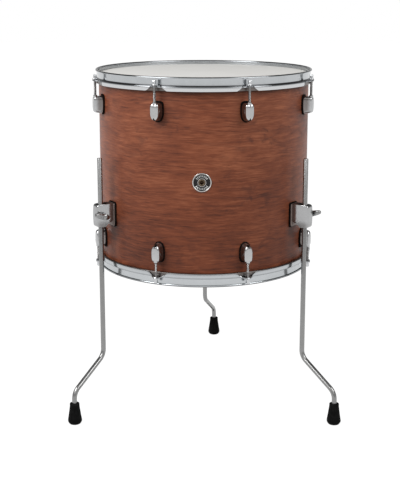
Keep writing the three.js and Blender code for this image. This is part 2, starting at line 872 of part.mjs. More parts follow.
legAzimuths.forEach((degrees, place) => {
  const name = legNames[place];
  const arm = new THREE.Group();
  arm.rotation.z = radians(degrees);
  drum.add(arm);
  add(arm, `${name}_leg_bracket`, bracket, castChrome).position.z = bracketHeight;
  add(arm, `${name}_bracket_gasket`, gasket, darkGasket).position.z = bracketHeight;
  add(arm, `${name}_clamp_screw`, clampScrew, chrome).position.set(0, -legCircle, bracketHeight);
  const swivel = new THREE.Group();
  swivel.position.y = -legCircle;
  swivel.rotation.z = radians(footAzimuths[place] - degrees);
  arm.add(swivel);
  add(swivel, `${name}_leg`, leg, chrome);
  add(swivel, `${name}_foot`, foot, blackRubber).position.y = -legOffset;
});

// The origin is on the floor, under the middle of the whole object
const part = new THREE.Group();
part.add(drum);
const reach = new THREE.Box3().setFromObject(drum, true);
const middle = reach.getCenter(new THREE.Vector3());
drum.position.set(-middle.x, -middle.y, -reach.min.z);

export default part;
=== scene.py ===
import json
import math

import bmesh
import bpy
from mathutils import Matrix, Vector


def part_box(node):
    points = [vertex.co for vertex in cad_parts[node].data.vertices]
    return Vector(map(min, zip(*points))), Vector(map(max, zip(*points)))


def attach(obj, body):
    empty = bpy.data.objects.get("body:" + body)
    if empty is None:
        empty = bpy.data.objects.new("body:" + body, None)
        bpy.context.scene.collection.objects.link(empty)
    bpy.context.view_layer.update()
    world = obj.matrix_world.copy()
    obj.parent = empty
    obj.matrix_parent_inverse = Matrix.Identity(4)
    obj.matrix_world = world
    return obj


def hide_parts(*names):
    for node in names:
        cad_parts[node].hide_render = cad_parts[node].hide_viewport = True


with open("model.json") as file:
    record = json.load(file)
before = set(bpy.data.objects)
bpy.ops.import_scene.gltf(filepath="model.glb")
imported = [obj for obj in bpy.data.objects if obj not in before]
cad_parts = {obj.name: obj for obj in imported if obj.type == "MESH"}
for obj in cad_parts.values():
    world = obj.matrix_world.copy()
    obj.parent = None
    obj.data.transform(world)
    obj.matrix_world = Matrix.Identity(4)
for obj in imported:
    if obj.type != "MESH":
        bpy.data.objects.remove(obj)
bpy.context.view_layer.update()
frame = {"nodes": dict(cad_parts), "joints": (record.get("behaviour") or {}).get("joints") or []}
print("frame loaded,", len(frame["nodes"]), "nodes")

# Lengths are millimetres about the drum's axis, with heights from the floor.
# Azimuths run from the front of the drum, -Y, towards +X.
perMetre = 1000.0


def nodeBox(name):
    low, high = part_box(name)
    return Vector(low) * perMetre, Vector(high) * perMetre


def jointNamed(name):
    return next(joint for joint in frame["joints"] if joint["name"] == name)


shellLow, shellHigh = nodeBox("shell")
drumAxis = Vector(((shellLow.x + shellHigh.x) / 2, (shellLow.y + shellHigh.y) / 2, 0))
shellRadius = (shellHigh.x - shellLow.x) / 2
shellBottom = shellLow.z
shellTop = shellHigh.z
lugCount = 8
lugStep = 360 / lugCount
firstLug = lugStep / 2
endNames = ("batter", "resonant")
legNames = ("left", "right", "rear")


def fromAxis(place):
    return Vector(place) * perMetre - drumAxis


def azimuthOf(place):
    return math.degrees(math.atan2(place.x, -place.y))


rodPlace = fromAxis(jointNamed("batter_rod_1_turn")["pos_m"])
rodCircle = math.hypot(rodPlace.x, rodPlace.y)
screwPlaces = {name: fromAxis(jointNamed(name + "_clamp_turn")["pos_m"]) for name in legNames}
legCircle = math.hypot(screwPlaces["left"].x, screwPlaces["left"].y)
bracketHeight = screwPlaces["left"].z
badgeLow, badgeHigh = nodeBox("badge")
ventHeight = (badgeLow.z + badgeHigh.z) / 2

# Meshes are worked out as lists of points and faces, called forms


def arc(centre, radius, start, end, steps):
    turns = [math.radians(blend(start, end, step / steps)) for step in range(steps + 1)]
    return [(centre[0] + radius * math.cos(turn), centre[1] + radius * math.sin(turn)) for turn in turns]


def blend(low, high, share):
    return low + (high - low) * share


def ease(share):
    share = min(1.0, max(0.0, share))
    return share * share * (3 - 2 * share)


def signedPower(value, power):
    return math.copysign(abs(value) ** power, value)


def stitch(rings, looped=False, capped=True):
    count = len(rings[0])
    points = [Vector(point) for ring in rings for point in ring]
    faces = []
    last = len(rings) if looped else len(rings) - 1
    for ring in range(last):
        base = ring * count
        above = (ring + 1) % len(rings) * count
        for side in range(count):
            after = (side + 1) % count
            faces.append((base + side, base + after, above + after, above + side))
    if capped and not looped:
        faces.append(tuple(reversed(range(count))))
        faces.append(tuple(range((len(rings) - 1) * count, len(rings) * count)))
    return points, faces


def lathe(outline, sides, closed=True):  # outline of (radius, height) about Z
    points = []
    rows = []
    for radius, height in outline:
        if radius == 0:
            rows.append([len(points)] * sides)
            points.append(Vector((0, 0, height)))
        else:
            rows.append([len(points) + side for side in range(sides)])
            for side in range(sides):
                turn = 2 * math.pi * side / sides
                points.append(Vector((radius * math.sin(turn), -radius * math.cos(turn), height)))
    faces = []
    pairs = list(zip(rows, rows[1:] + rows[:1])) if closed else list(zip(rows, rows[1:]))
    for low, high in pairs:
        for side in range(sides):
            after = (side + 1) % sides
            corners = [low[side], low[after], high[after], high[side]]
            kept = [c for place, c in enumerate(corners) if c not in corners[:place]]
            if len(kept) > 2:
                faces.append(tuple(kept))
    return points, faces


def cylinder(radius, low, high, sides):
    return lathe([(0, low), (radius, low), (radius, high), (0, high)], sides, False)


def moved(form, matrix):
    points, faces = form
    return [matrix @ point for point in points], faces


def joinForms(forms):
    points = []
    faces = []
    for morePoints, moreFaces in forms:
        start = len(points)
        points.extend(morePoints)
        faces.extend(tuple(start + corner for corner in face) for face in moreFaces)
    return points, faces


def turnAbout(axis, degrees):
    return Matrix.Rotation(math.radians(degrees), 4, axis)


def lift(height):
    return Matrix.Translation((0, 0, height))


def standAt(place):
    return Matrix.Translation(place)


# A form made at azimuth 0, with heights from a bearing edge, goes to one end of the drum
def endMatrix(end, azimuth=0.0):
    if end == "batter":
        return lift(shellTop) @ turnAbout("Z", azimuth)
    return lift(shellBottom) @ turnAbout("Z", azimuth) @ turnAbout("Y", 180)


def meshOf(form, name):
    points, faces = form
    mesh = bpy.data.meshes.new(name)
    mesh.from_pydata([(point + drumAxis) / perMetre for point in points], [], faces)
    work = bmesh.new()
    work.from_mesh(mesh)
    bmesh.ops.recalc_face_normals(work, faces=work.faces)
    work.to_mesh(mesh)
    work.free()
    return mesh


def formOf(mesh):
    points = [Vector(vertex.co) * perMetre - drumAxis for vertex in mesh.vertices]
    return points, [tuple(face.vertices) for face in mesh.polygons]


def looseObject(form, name):
    made = bpy.data.objects.new(name, meshOf(form, name))
    bpy.context.scene.collection.objects.link(made)
    return made


def evaluatedForm(made):
    graph = bpy.context.evaluated_depsgraph_get()
    mesh = bpy.data.meshes.new_from_object(made.evaluated_get(graph))
    form = formOf(mesh)
    bpy.data.meshes.remove(mesh)
    return form


# Joins tools to a form or cuts them out of it, one after another
def carved(form, *steps):
    base = looseObject(form, "carving")
    tools = []
    for operation, tool in steps:
        made = looseObject(tool, "carvingTool")
        made.hide_render = True
        tools.append(made)
        modifier = base.modifiers.new("carve", "BOOLEAN")
        modifier.operation = operation
        modifier.solver = "EXACT"
        modifier.object = made
    result = evaluatedForm(base)
    for made in [base, *tools]:
        bpy.data.objects.remove(made)
    return result


def makePiece(name, form, finish, body, slot, nodes=(), sharp=32):
    mesh = meshOf(form, name)
    mesh.materials.append(finish)
    mesh.shade_smooth()
    mesh.set_sharp_from_angle(angle=math.radians(sharp))
    piece = bpy.data.objects.new(name, mesh)
    bpy.context.scene.collection.objects.link(piece)
    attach(piece, body)
    if nodes:
        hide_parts(*nodes)


# Node trees are written as sums: a Wire is one output socket, and operators on it add nodes


class Wire:
    def __init__(self, sketch, socket):
        self.sketch = sketch
        self.socket = socket

    def sum(self, operation, other, swapped=False):
        pair = (other, self) if swapped else (self, other)
        return self.sketch.sum(operation, *pair)

    def __add__(self, other):
        return self.sum("ADD", other)

    def __radd__(self, other):
        return self.sum("ADD", other, True)

    def __sub__(self, other):
        return self.sum("SUBTRACT", other)

    def __rsub__(self, other):
        return self.sum("SUBTRACT", other, True)

    def __mul__(self, other):
        return self.sum("MULTIPLY", other)

    def __rmul__(self, other):
        return self.sum("MULTIPLY", other, True)

    def __truediv__(self, other):
        return self.sum("DIVIDE", other)


class Sketch:  # a node tree while it is being written
    def __init__(self, tree):
        self.tree = tree

    def node(self, kind, settings=None, inputs=None, output=0):
        made = self.tree.nodes.new(kind)
        for key, value in (settings or {}).items():
            if key == "stops":
                self.setStops(made, value)
            else:
                setattr(made, key, value)
        for key, value in (inputs or {}).items():
            if isinstance(value, Wire):
                self.tree.links.new(value.socket, made.inputs[key])
            else:
                made.inputs[key].default_value = value
        return Wire(self, made.outputs[output])

    def setStops(self, ramp, stops):
        elements = ramp.color_ramp.elements
        while len(elements) < len(stops):
            elements.new(1.0)
        for element, (place, color) in zip(elements, stops):
            element.position = place
            element.color = (*color, 1.0)

    def sum(self, operation, *pair):
        wires = [item for item in pair if isinstance(item, Wire)]
        isVector = any(wire.socket.type == "VECTOR" for wire in wires)
        isVector = isVector or any(isinstance(item, tuple) for item in pair)
        if not isVector:
            return self.math(operation, *pair)
        parts = [(item,) * 3 if isinstance(item, (int, float)) else item for item in pair]
        return self.node("ShaderNodeVectorMath", {"operation": operation}, dict(enumerate(parts)))

    def math(self, operation, *values):
        return self.node("ShaderNodeMath", {"operation": operation}, dict(enumerate(values)))

    def split(self, vector, axis):
        return self.node("ShaderNodeSeparateXYZ", None, {0: vector}, "XYZ".index(axis))

    def range(self, value, low, high):  # runs smoothly from 0 at low to 1 at high
        settings = {"clamp": True, "interpolation_type": "SMOOTHSTEP"}
        return self.node("ShaderNodeMapRange", settings, {0: value, 1: low, 2: high})

    def length(self, vector):
        return self.node("ShaderNodeVectorMath", {"operation": "LENGTH"}, {0: vector}, "Value")


class Finish(Sketch):  # a material that ends in one Principled shader
    def __init__(self, name, **shader):
        self.material = bpy.data.materials.new(name)
        self.material.use_nodes = True
        super().__init__(self.material.node_tree)
        self.tree.nodes.clear()
        self.shader = self.tree.nodes.new("ShaderNodeBsdfPrincipled")
        ending = self.tree.nodes.new("ShaderNodeOutputMaterial")
        self.tree.links.new(self.shader.outputs[0], ending.inputs[0])
        self.place = self.node("ShaderNodeTexCoord", None, None, "Object")
        for key, value in shader.items():
            self.put(key, value)

    def put(self, key, value):
        socket = self.shader.inputs[key.replace("_", " ")]
        if isinstance(value, Wire):
            self.tree.links.new(value.socket, socket)
        else:
            socket.default_value = value

    def noise(self, vector, scale, detail=3.0, roughness=0.55, distortion=0.0):
        values = {"Vector": vector, "Scale": scale, "Detail": detail}
        values.update({"Roughness": roughness, "Distortion": distortion})
        return self.node("ShaderNodeTexNoise", {"noise_dimensions": "3D"}, values)

    def ramp(self, value, *stops):
        return self.node("ShaderNodeValToRGB", {"stops": stops}, {0: value})

    def mix(self, share, *pair):  # from the first colour to the second
        first, second = [(*item, 1.0) if isinstance(item, tuple) else item for item in pair]
        return self.node("ShaderNodeMix", {"data_type": "RGBA"}, {0: share, 6: first, 7: second}, 2)

    def bump(self, height, strength, distance):
        inputs = {"Height": height, "Strength": strength, "Distance": distance}
        self.put("Normal", self.node("ShaderNodeBump", None, inputs))


def inMetres(length):
    return length / perMetre


def aboutDrum(finish):  # place measured from the drum's axis, in metres
    return finish.place - tuple(drumAxis / perMetre)


def radiusAboutDrum(finish):
    return finish.length(aboutDrum(finish) * (1.0, 1.0, 0.0))


def pastEdge(finish):  # height past the nearer bearing edge, in metres
    middle = inMetres((shellTop + shellBottom) / 2)
    half = inMetres((shellTop - shellBottom) / 2)
    return finish.math("ABSOLUTE", finish.split(finish.place, "Z") - middle) - half


# Geometry trees, run on a scratch object whose result is kept as a form


class Tree(Sketch):
    def __init__(self, name, **inputs):
        super().__init__(bpy.data.node_groups.new(name, "GeometryNodeTree"))
        self.keys = {}
        for label, kind in inputs.items():
            socket = self.tree.interface.new_socket(label, in_out="INPUT", socket_type="NodeSocket" + kind)
            self.keys[label] = socket.identifier
        self.tree.interface.new_socket("Geometry", in_out="OUTPUT", socket_type="NodeSocketGeometry")
        self.start = self.tree.nodes.new("NodeGroupInput")
        self.ending = self.tree.nodes.new("NodeGroupOutput")

    def given(self, label):
        return Wire(self, self.start.outputs[label])

    def finishWith(self, geometry):
        solid = self.node("GeometryNodeRealizeInstances", None, {0: geometry})
        painted = self.node("GeometryNodeSetMaterial", None, {0: solid, "Material": self.given("finish")})
        self.tree.links.new(painted.socket, self.ending.inputs[0])

    def run(self, **values):
        host = bpy.data.objects.new("treeHost", bpy.data.meshes.new("treeHost"))
        bpy.context.scene.collection.objects.link(host)
        modifier = host.modifiers.new("tree", "NODES")
        modifier.node_group = self.tree
        for label, value in values.items():
            modifier[self.keys[label]] = value
        graph = bpy.context.evaluated_depsgraph_get()
        mesh = bpy.data.meshes.new_from_object(host.evaluated_get(graph))
        points = [Vector(vertex.co) for vertex in mesh.vertices]
        form = points, [tuple(face.vertices) for face in mesh.polygons]
        bpy.data.objects.remove(host)
        bpy.data.meshes.remove(mesh)
        return form


def writeCircleTree():  # copies of one piece, turned in equal steps about Z
    sizes = {"count": "Int", "first": "Float", "step": "Float"}
    tree = Tree("aroundCircle", piece="Object", **sizes, finish="Material")
    settings = {"transform_space": "ORIGINAL"}
    source = tree.node("GeometryNodeObjectInfo", settings, {"Object": tree.given("piece")}, "Geometry")
    places = tree.node("GeometryNodePoints", None, {"Count": tree.given("count")})
    index = tree.node("GeometryNodeInputIndex")
    turn = tree.given("first") + index * tree.given("step")
    spin = tree.node("ShaderNodeCombineXYZ", None, {"Z": turn})
    inputs = {"Points": places, "Instance": source, "Rotation": spin}
    tree.finishWith(tree.node("GeometryNodeInstanceOnPoints", None, inputs))
    return tree


def writeThreadTree():  # a rod with a helical groove, from its middle
    sizes = {"radius": "Float", "depth": "Float", "pitch": "Float", "length": "Float"}
    tree = Tree("thread", **sizes, sides="Int", rows="Int", finish="Material")
    given = tree.given
    radius = given("radius")
    inputs = {"Vertices": given("sides"), "Side Segments": given("rows")}
    inputs.update({"Radius": radius, "Depth": given("length")})
    bar = tree.node("GeometryNodeMeshCylinder", {"fill_type": "NGON"}, inputs)
    place = tree.node("GeometryNodeInputPosition")
    across = tree.split(place, "X")
    along = tree.split(place, "Y")
    height = tree.split(place, "Z")
    turn = tree.math("ARCTAN2", along, across) / (2 * math.pi)
    wave = tree.math("PINGPONG", height / given("pitch") - turn, 0.5) * 2
    isOuter = tree.math("GREATER_THAN", across * across + along * along, radius * radius / 2)
    shrink = 1 - wave * isOuter * given("depth") / radius
    grooved = tree.node("ShaderNodeCombineXYZ", None, {0: across * shrink, 1: along * shrink, 2: height})
    tree.finishWith(tree.node("GeometryNodeSetPosition", None, {"Geometry": bar, "Position": grooved}))
    return tree


circleTree = writeCircleTree()
threadTree = writeThreadTree()


def aroundCircle(form, count, first, step, finish):
    points, faces = form
    source = bpy.data.objects.new("circleSource", bpy.data.meshes.new("circleSource"))
    source.data.from_pydata(points, [], faces)
    bpy.context.scene.collection.objects.link(source)
    values = {"count": count, "first": math.radians(first), "step": math.radians(step)}
    result = circleTree.run(piece=source, finish=finish, **values)
    bpy.data.objects.remove(source)
    return result


print("tools ready")

# Finishes


def woodFinish():
    look = {
        "stain": ((0.0, (0.062, 0.016, 0.008)), (0.5, (0.158, 0.043, 0.019)), (1.0, (0.268, 0.088, 0.042))),
        "bare": ((0.0, (0.46, 0.30, 0.17)), (1.0, (0.68, 0.50, 0.32))),
        "figure": (0.045, 0.014, 0.010),
        "stainFrom": 223.0,  # radius where the stain ends, inside the edge
        "tone": 0.48,
        "mottles": 0.46,  # how dark the figure of the veneer is
        "streaks": 0.26,
        "paintedShadeLow": 0.115,  # painted shade: how much darker the wood is low down
        "paintedShadeLowHeights": (60.0, 230.0),  # over the lower edge, full and none
        "paintedLightHigh": 0.070,  # painted light: how much paler the wood is high up
        "paintedLightHighHeights": (230.0, 60.0),  # under the upper edge, none and full
        "roughness": 0.46,
        "bump": 0.22,
        # layers of noise: scale around and along the drum, detail, roughness, distortion
        "sway": (11.0, 14.0, 2.0),
        "ripple": (46.0, 60.0, 2.0),
        "lines": (13.0, 150.0, 4.0, 0.62),
        "fibres": (34.0, 440.0, 3.0, 0.6),
        "threads": (50.0, 1100.0, 2.0, 0.6),
        "pores": (60.0, 1500.0, 2.0, 0.5),
        "clouds": (8.0, 12.0, 4.0, 0.6),
        "blots": (26.0, 44.0, 4.0, 0.62, 0.7),
        "groups": (6.5, 9.0, 2.0),
        "vein": (2.0, 34.0, 1.0),
    }
    wood = Finish("stainedWood", Coat_Weight=0.08, Coat_Roughness=0.34, Specular_IOR_Level=0.2)
    place = aboutDrum(wood)

    def layer(key, vector):
        around, along, *rest = look[key]
        return wood.noise(vector * (around, around, along), 1.0, *rest)

    # the grain wanders up and down as it goes round the drum
    rise = wood.split(place, "Z")
    height = rise + (layer("sway", place) - 0.5) * 0.013 + (layer("ripple", place) - 0.5) * 0.003
    inputs = {0: wood.split(place, "X"), 1: wood.split(place, "Y"), 2: height}
    grain = wood.node("ShaderNodeCombineXYZ", None, inputs)
    lines = layer("lines", grain) - 0.5
    fibres = layer("fibres", grain) - 0.5
    threads = layer("threads", grain) - 0.5
    clouds = layer("clouds", place) - 0.5
    deep = wood.range(layer("pores", grain), 0.60, 0.74)
    figure = wood.range(layer("blots", place), 0.50, 0.66) * wood.range(layer("groups", place), 0.46, 0.60)
    streak = 1 - wood.range(wood.math("ABSOLUTE", layer("vein", grain) - 0.5), 0.0, 0.014)
    tone = look["tone"] + lines * 0.90 + fibres * 1.25 + threads * 0.45 + clouds * 1.10 - deep * 0.06
    # painted shade in the tone, darker low down
    low, high = [inMetres(shellBottom + over) for over in look["paintedShadeLowHeights"]]
    tone = tone - (1 - wood.range(rise, low, high)) * look["paintedShadeLow"]
    # painted light in the tone, paler high up
    low, high = [inMetres(shellTop - under) for under in look["paintedLightHighHeights"]]
    tone = tone + wood.range(rise, low, high) * look["paintedLightHigh"]
    marks = figure * look["mottles"] + streak * look["streaks"]
    stained = wood.mix(marks, wood.ramp(tone, *look["stain"]), look["figure"])
    bare = wood.ramp(tone, *look["bare"])
    stainFrom = look["stainFrom"]
    isStained = wood.range(radiusAboutDrum(wood), inMetres(stainFrom), inMetres(stainFrom + 1.0))
    wood.put("Base Color", wood.mix(isStained, bare, stained))
    wood.put("Roughness", look["roughness"] + fibres * 0.16 + deep * 0.1 + figure * 0.05)
    wood.bump(fibres * 0.6 + lines * 0.3 - deep * 0.4, look["bump"], inMetres(0.12))
    return wood.material


def chromeFinish(name, color, roughness, waves=0.0):  # waves is how uneven the plating is
    look = {"cloud": 0.10, "specks": 0.86, "cloudGloss": 0.08, "smearGloss": 0.07, "bump": 0.10}
    chrome = Finish(name, Metallic=1.0)
    cloud = chrome.noise(chrome.place, 34.0, 4.0, 0.6)
    smear = chrome.noise(chrome.place * (160.0, 160.0, 40.0), 1.0, 3.0, 0.6)
    specks = chrome.noise(chrome.place, 900.0, 1.0, 0.4)
    darker, paler, dull = [
        tuple(part * share for part in color)
        for share in (1 - look["cloud"], 1 + look["cloud"], look["specks"])
    ]
    tint = chrome.mix(cloud, darker, paler)
    chrome.base = chrome.mix(chrome.range(specks, 0.70, 0.80), tint, dull)
    chrome.gloss = roughness + (cloud - 0.5) * look["cloudGloss"]
    chrome.gloss = chrome.gloss + chrome.range(smear, 0.5, 0.8) * look["smearGloss"]
    chrome.put("Base Color", chrome.base)
    chrome.put("Roughness", chrome.gloss)
    chrome.bump(cloud * (1.0 + waves) + smear * 0.1, look["bump"] * (1 + waves), inMetres(0.5))
    return chrome


def hoopFinish():  # painted shade in the corner over the ledge, on the bend below it and on the rolled edges; painted light on the top hoop's skirt
    look = {
        "color": (0.470, 0.488, 0.502),
        "roughness": 0.15,
        "skirt": (0.580, 0.590, 0.600),  # painted light: paler on the top hoop's skirt, under the bend
        "paintedLightSkirtHeights": (-12.4, -10.9),  # full and none
        # painted shade: the dark colour in the corner, on the bend and on the rolled edges
        "corner": (0.050, 0.052, 0.056),
        "paintedShadeCornerShare": 0.92,
        "cornerHeight": -7.9,
        "cornerWidths": (0.8, 1.9),  # half the height, full and none
        "paintedShadeBendShare": 0.60,
        "bendHeight": -9.9,
        "bendWidths": (0.9, 2.0),
        "lowerPaintedShadeShare": 0.45,  # share of both painted shades, on the hoop that faces the floor
        "paintedShadeRollShare": 0.85,  # painted shade on the rolled edge that faces the floor
        "topPaintedShadeRollShare": 0.66,  # painted shade on the other rolled edge
        "rollHeights": (7.0, 8.4),
    }
    hoop = chromeFinish("hoopChrome", look["color"], look["roughness"], 0.4)
    isLower = hoop.math("LESS_THAN", hoop.split(hoop.place, "Z"), inMetres((shellTop + shellBottom) / 2))
    height = pastEdge(hoop)

    def between(key):
        return hoop.range(height, *[inMetres(limit) for limit in look[key]])

    def around(key):
        away = hoop.math("ABSOLUTE", height - inMetres(look[key + "Height"]))
        return 1 - hoop.range(away, *[inMetres(limit) for limit in look[key + "Widths"]])

    # painted shade over the ledge, on the bend and on the rolled edges
    share = hoop.math("MAXIMUM", around("corner") * look["paintedShadeCornerShare"], around("bend") * look["paintedShadeBendShare"])
    share = share * (1 - isLower * (1 - look["lowerPaintedShadeShare"]))
    paintedShadeRollShare = look["topPaintedShadeRollShare"] + isLower * (look["paintedShadeRollShare"] - look["topPaintedShadeRollShare"])
    share = hoop.math("MAXIMUM", share, between("rollHeights") * paintedShadeRollShare)
    # painted light on the top hoop's skirt
    skirt = (1 - between("paintedLightSkirtHeights")) * (1 - isLower)
    paler = hoop.mix(skirt, hoop.base, look["skirt"])
    hoop.put("Base Color", hoop.mix(share, paler, look["corner"]))
    return hoop


def rodFinish():  # plated heads, and duller threads
    look = {
        "head": (0.520, 0.528, 0.540),
        "shaft": (0.185, 0.180, 0.178),
        "roughness": 0.24,
        "shaftTo": -11.0,  # heights past the bearing edge
        "headFrom": -8.6,
    }
    rod = chromeFinish("rodChrome", look["head"], look["roughness"], -0.7)
    share = rod.range(pastEdge(rod), inMetres(look["shaftTo"]), inMetres(look["headFrom"]))
    rod.put("Base Color", rod.mix(share, look["shaft"], rod.base))
    return rod


def legFinish():  # painted light: paler high up, over the bracket
    look = {
        "low": (0.262, 0.262, 0.260),
        # painted light: the paler colour high up on the leg
        "high": (0.365, 0.365, 0.363),
        "roughness": 0.27,
        "paintedLightStart": 430.0,
        "paintedLightFull": 470.0,
    }
    leg = chromeFinish("legChrome", look["low"], look["roughness"], -0.7)
    share = leg.range(leg.split(leg.place, "Z"), inMetres(look["paintedLightStart"]), inMetres(look["paintedLightFull"]))
    leg.put("Base Color", leg.mix(share, leg.base, look["high"]))
    return leg


def lugFinish():  # painted shade on the sides, which face the wood, but not on the heel
    look = {
        "color": (0.440, 0.442, 0.446),
        # painted shade: the dark colour of the sides
        "side": (0.200, 0.180, 0.172),
        "roughness": 0.19,
        "paintedShadeSideTo": 238.0,  # radii about the drum
        "faceFrom": 247.5,
        "heelShare": 0.8,
        "heelTo": 1.5,  # degrees to each side of a lug's middle
        "sideFrom": 2.1,
    }
    lug = chromeFinish("lugChrome", look["color"], look["roughness"], 0.8)
    place = aboutDrum(lug)
    turn = lug.math("ARCTAN2", lug.split(place, "X"), lug.split(place, "Y")) + 2 * math.pi
    turn = lug.math("PINGPONG", turn + math.radians(lugStep - firstLug), math.radians(lugStep / 2))
    heel = 1 - lug.range(turn, math.radians(look["heelTo"]), math.radians(look["sideFrom"]))
    # painted shade on the sides, kept off the heel
    share = lug.range(radiusAboutDrum(lug), inMetres(look["paintedShadeSideTo"]), inMetres(look["faceFrom"]))
    share = lug.math("MAXIMUM", share, heel * look["heelShare"])
    lug.put("Base Color", lug.mix(share, look["side"], lug.base))
    return lug


def bracketFinish():  # painted reflection of the wood at the foot, and painted shade where the sides turn under
    look = {
        "color": (0.400, 0.402, 0.406),
        "roughness": 0.20,
        # painted reflection of the dark wood: the brownish colour of the foot
        "foot": (0.185, 0.150, 0.138),
        "footRoughness": 0.24,  # more than the rest
        "paintedReflectionFootTo": 239.4,  # radii about the drum
        "sideFrom": 240.0,
        # painted shade where the sides turn under
        "under": (0.150, 0.143, 0.140),
        "paintedShadeUnderShare": 0.75,
        "underDrops": (7.0, 19.0),  # middle of the bracket down to where it starts and is full
        "underRadii": (262.0, 274.5),  # full and none
    }
    bracket = chromeFinish("bracketChrome", look["color"], look["roughness"], 0.8)
    out = radiusAboutDrum(bracket)
    drop = inMetres(bracketHeight) - bracket.split(bracket.place, "Z")
    low = bracket.range(drop, *[inMetres(limit) for limit in look["underDrops"]])
    low = low * (1 - bracket.range(out, *[inMetres(limit) for limit in look["underRadii"]]))
    # painted shade under the sides, and painted reflection of the wood on the foot
    sides = bracket.mix(low * look["paintedShadeUnderShare"], bracket.base, look["under"])
    share = bracket.range(out, inMetres(look["paintedReflectionFootTo"]), inMetres(look["sideFrom"]))
    bracket.put("Base Color", bracket.mix(share, look["foot"], sides))
    bracket.put("Roughness", bracket.gloss + (1 - share) * look["footRoughness"])
    return bracket


def filmFinish():
    look = {
        "dark": (0.500, 0.493, 0.476),
        "light": (0.562, 0.555, 0.537),
        "smudge": (0.50, 0.505, 0.48),
        "smudges": 0.35,
        "roughness": 0.50,
        "bump": 0.35,
    }
    film = Finish("coatedFilm", Specular_IOR_Level=0.35)
    grit = film.noise(film.place, 1500.0, 2.0, 0.7)
    patches = film.noise(film.place, 9.0, 3.0, 0.55)
    smudge = film.noise(film.place * (30.0, 30.0, 30.0), 1.0, 5.0, 0.65, 1.2)
    shade = film.mix(patches, look["dark"], look["light"])
    smudged = film.range(smudge, 0.55, 0.85) * look["smudges"]
    film.put("Base Color", film.mix(smudged, shade, look["smudge"]))
    film.put("Roughness", look["roughness"] + grit * 0.16)
    film.bump(grit, look["bump"], inMetres(0.06))
    return film.material


def clearFilmFinish():
    look = {"dark": (0.62, 0.65, 0.66), "light": (0.80, 0.82, 0.83), "roughness": 0.14, "scuffs": 0.16}
    film = Finish("clearFilm", Alpha=0.34, Specular_IOR_Level=0.6)
    haze = film.noise(film.place, 14.0, 4.0, 0.6)
    scuffs = film.noise(film.place * (300.0, 60.0, 60.0), 1.0, 3.0, 0.6)
    film.put("Base Color", film.mix(haze, look["dark"], look["light"]))
    film.put("Roughness", look["roughness"] + film.range(scuffs, 0.55, 0.8) * look["scuffs"])
    film.bump(haze, 0.12, inMetres(0.6))
    return film.material


def metalFinish(name, dark, light, roughness, scale=120.0):
    metal = Finish(name, Metallic=1.0)
    grain = metal.noise(metal.place, scale, 4.0, 0.65)
    stains = metal.noise(metal.place, scale / 8, 3.0, 0.6)
    metal.put("Base Color", metal.mix(grain * 0.5 + stains * 0.5, dark, light))
    metal.put("Roughness", roughness + (grain - 0.5) * 0.22)
    metal.bump(grain, 0.2, inMetres(0.08))
    return metal.material


def rubberFinish(name, dark, light, roughness):
    rubber = Finish(name, Specular_IOR_Level=0.04)
    grain = rubber.noise(rubber.place, 700.0, 3.0, 0.6)
    dust = rubber.noise(rubber.place, 60.0, 4.0, 0.65)
    rubber.put("Base Color", rubber.mix(rubber.range(dust, 0.40, 0.75), dark, light))
    rubber.put("Roughness", roughness + (grain - 0.5) * 0.25)
    rubber.bump(grain, 0.3, inMetres(0.08))
    return rubber.material


finishes = {
    "wood": woodFinish(),
    "hoop": hoopFinish().material,
    "lug": lugFinish().material,
    "bracket": bracketFinish().material,
    "rod": rodFinish().material,
    "screw": chromeFinish("screwChrome", (0.270, 0.270, 0.270), 0.22).material,
    "leg": legFinish().material,
    "film": filmFinish(),
    "clear": clearFilmFinish(),
    # painted shade: the flesh hoops' metal is darkened to stand for the shade in the gap under the hoop
    "ring": metalFinish("rolledAluminium", (0.120, 0.106, 0.100), (0.200, 0.182, 0.174), 0.38),
    "bronze": metalFinish("agedBronze", (0.055, 0.041, 0.028), (0.130, 0.098, 0.064), 0.36, 500.0),
    "steel": metalFinish("zincSteel", (0.34, 0.34, 0.33), (0.52, 0.52, 0.50), 0.36, 300.0),
    "gasket": rubberFinish("darkGasket", (0.004, 0.003, 0.003), (0.009, 0.006, 0.005), 0.72),
    "rubber": rubberFinish("footRubber", (0.004, 0.004, 0.004), (0.010, 0.010, 0.010), 0.62),
}
print("finishes ready")

# Shell


def makeShell():
    shell = {
        "wall": 7.5,
        "setback": 2.0,  # outer face to the peak of the bearing edge
        "round": 3.0,  # height of the outer round
        "peak": 0.35,  # radius of the peak
        "sides": 240,
        "ventRadius": 5.6,
        "ventBand": 17.0,  # half height of the band of faces that the vent is cut in
        "cutOverrun": 10.0,  # how far the tool for the vent goes past the wall
    }
    inner = shellRadius - shell["wall"]
    edge = shellRadius - shell["setback"]
    drop = edge - inner
    corner = [
        (shellRadius - shell["setback"] * (1 - math.cos(turn)), -shell["round"] * (1 - math.sin(turn)))
        for turn in [math.radians(step * 12) for step in range(8)]
    ]
    peak = [(edge + 0.2, 0.0), (edge - shell["peak"], -0.05), (edge - 1.0, shell["peak"] - 1.0)]
    top = corner + peak + [(inner + 0.15, -drop + 0.1), (inner, -drop - 0.5)]
    bands = [ventHeight - shell["ventBand"], ventHeight + shell["ventBand"]]
    outline = [(shellRadius, z) for z in bands]
    outline += [(r, shellTop + z) for r, z in top]
    outline += [(inner, z) for z in reversed(bands)]
    outline += [(r, shellBottom - z) for r, z in reversed(top)]
    vent = cylinder(shell["ventRadius"], inner - shell["cutOverrun"], shellRadius + shell["cutOverrun"], 48)
    hole = moved(vent, lift(ventHeight) @ turnAbout("X", 90))
    form = carved(lathe(outline, shell["sides"]), ("DIFFERENCE", hole))
    makePiece("woodShell", form, finishes["wood"], "drum", "stained_wood", ["shell"], 28)


# In the sizes of heads, hoops and rods, heights count from the bearing edge.

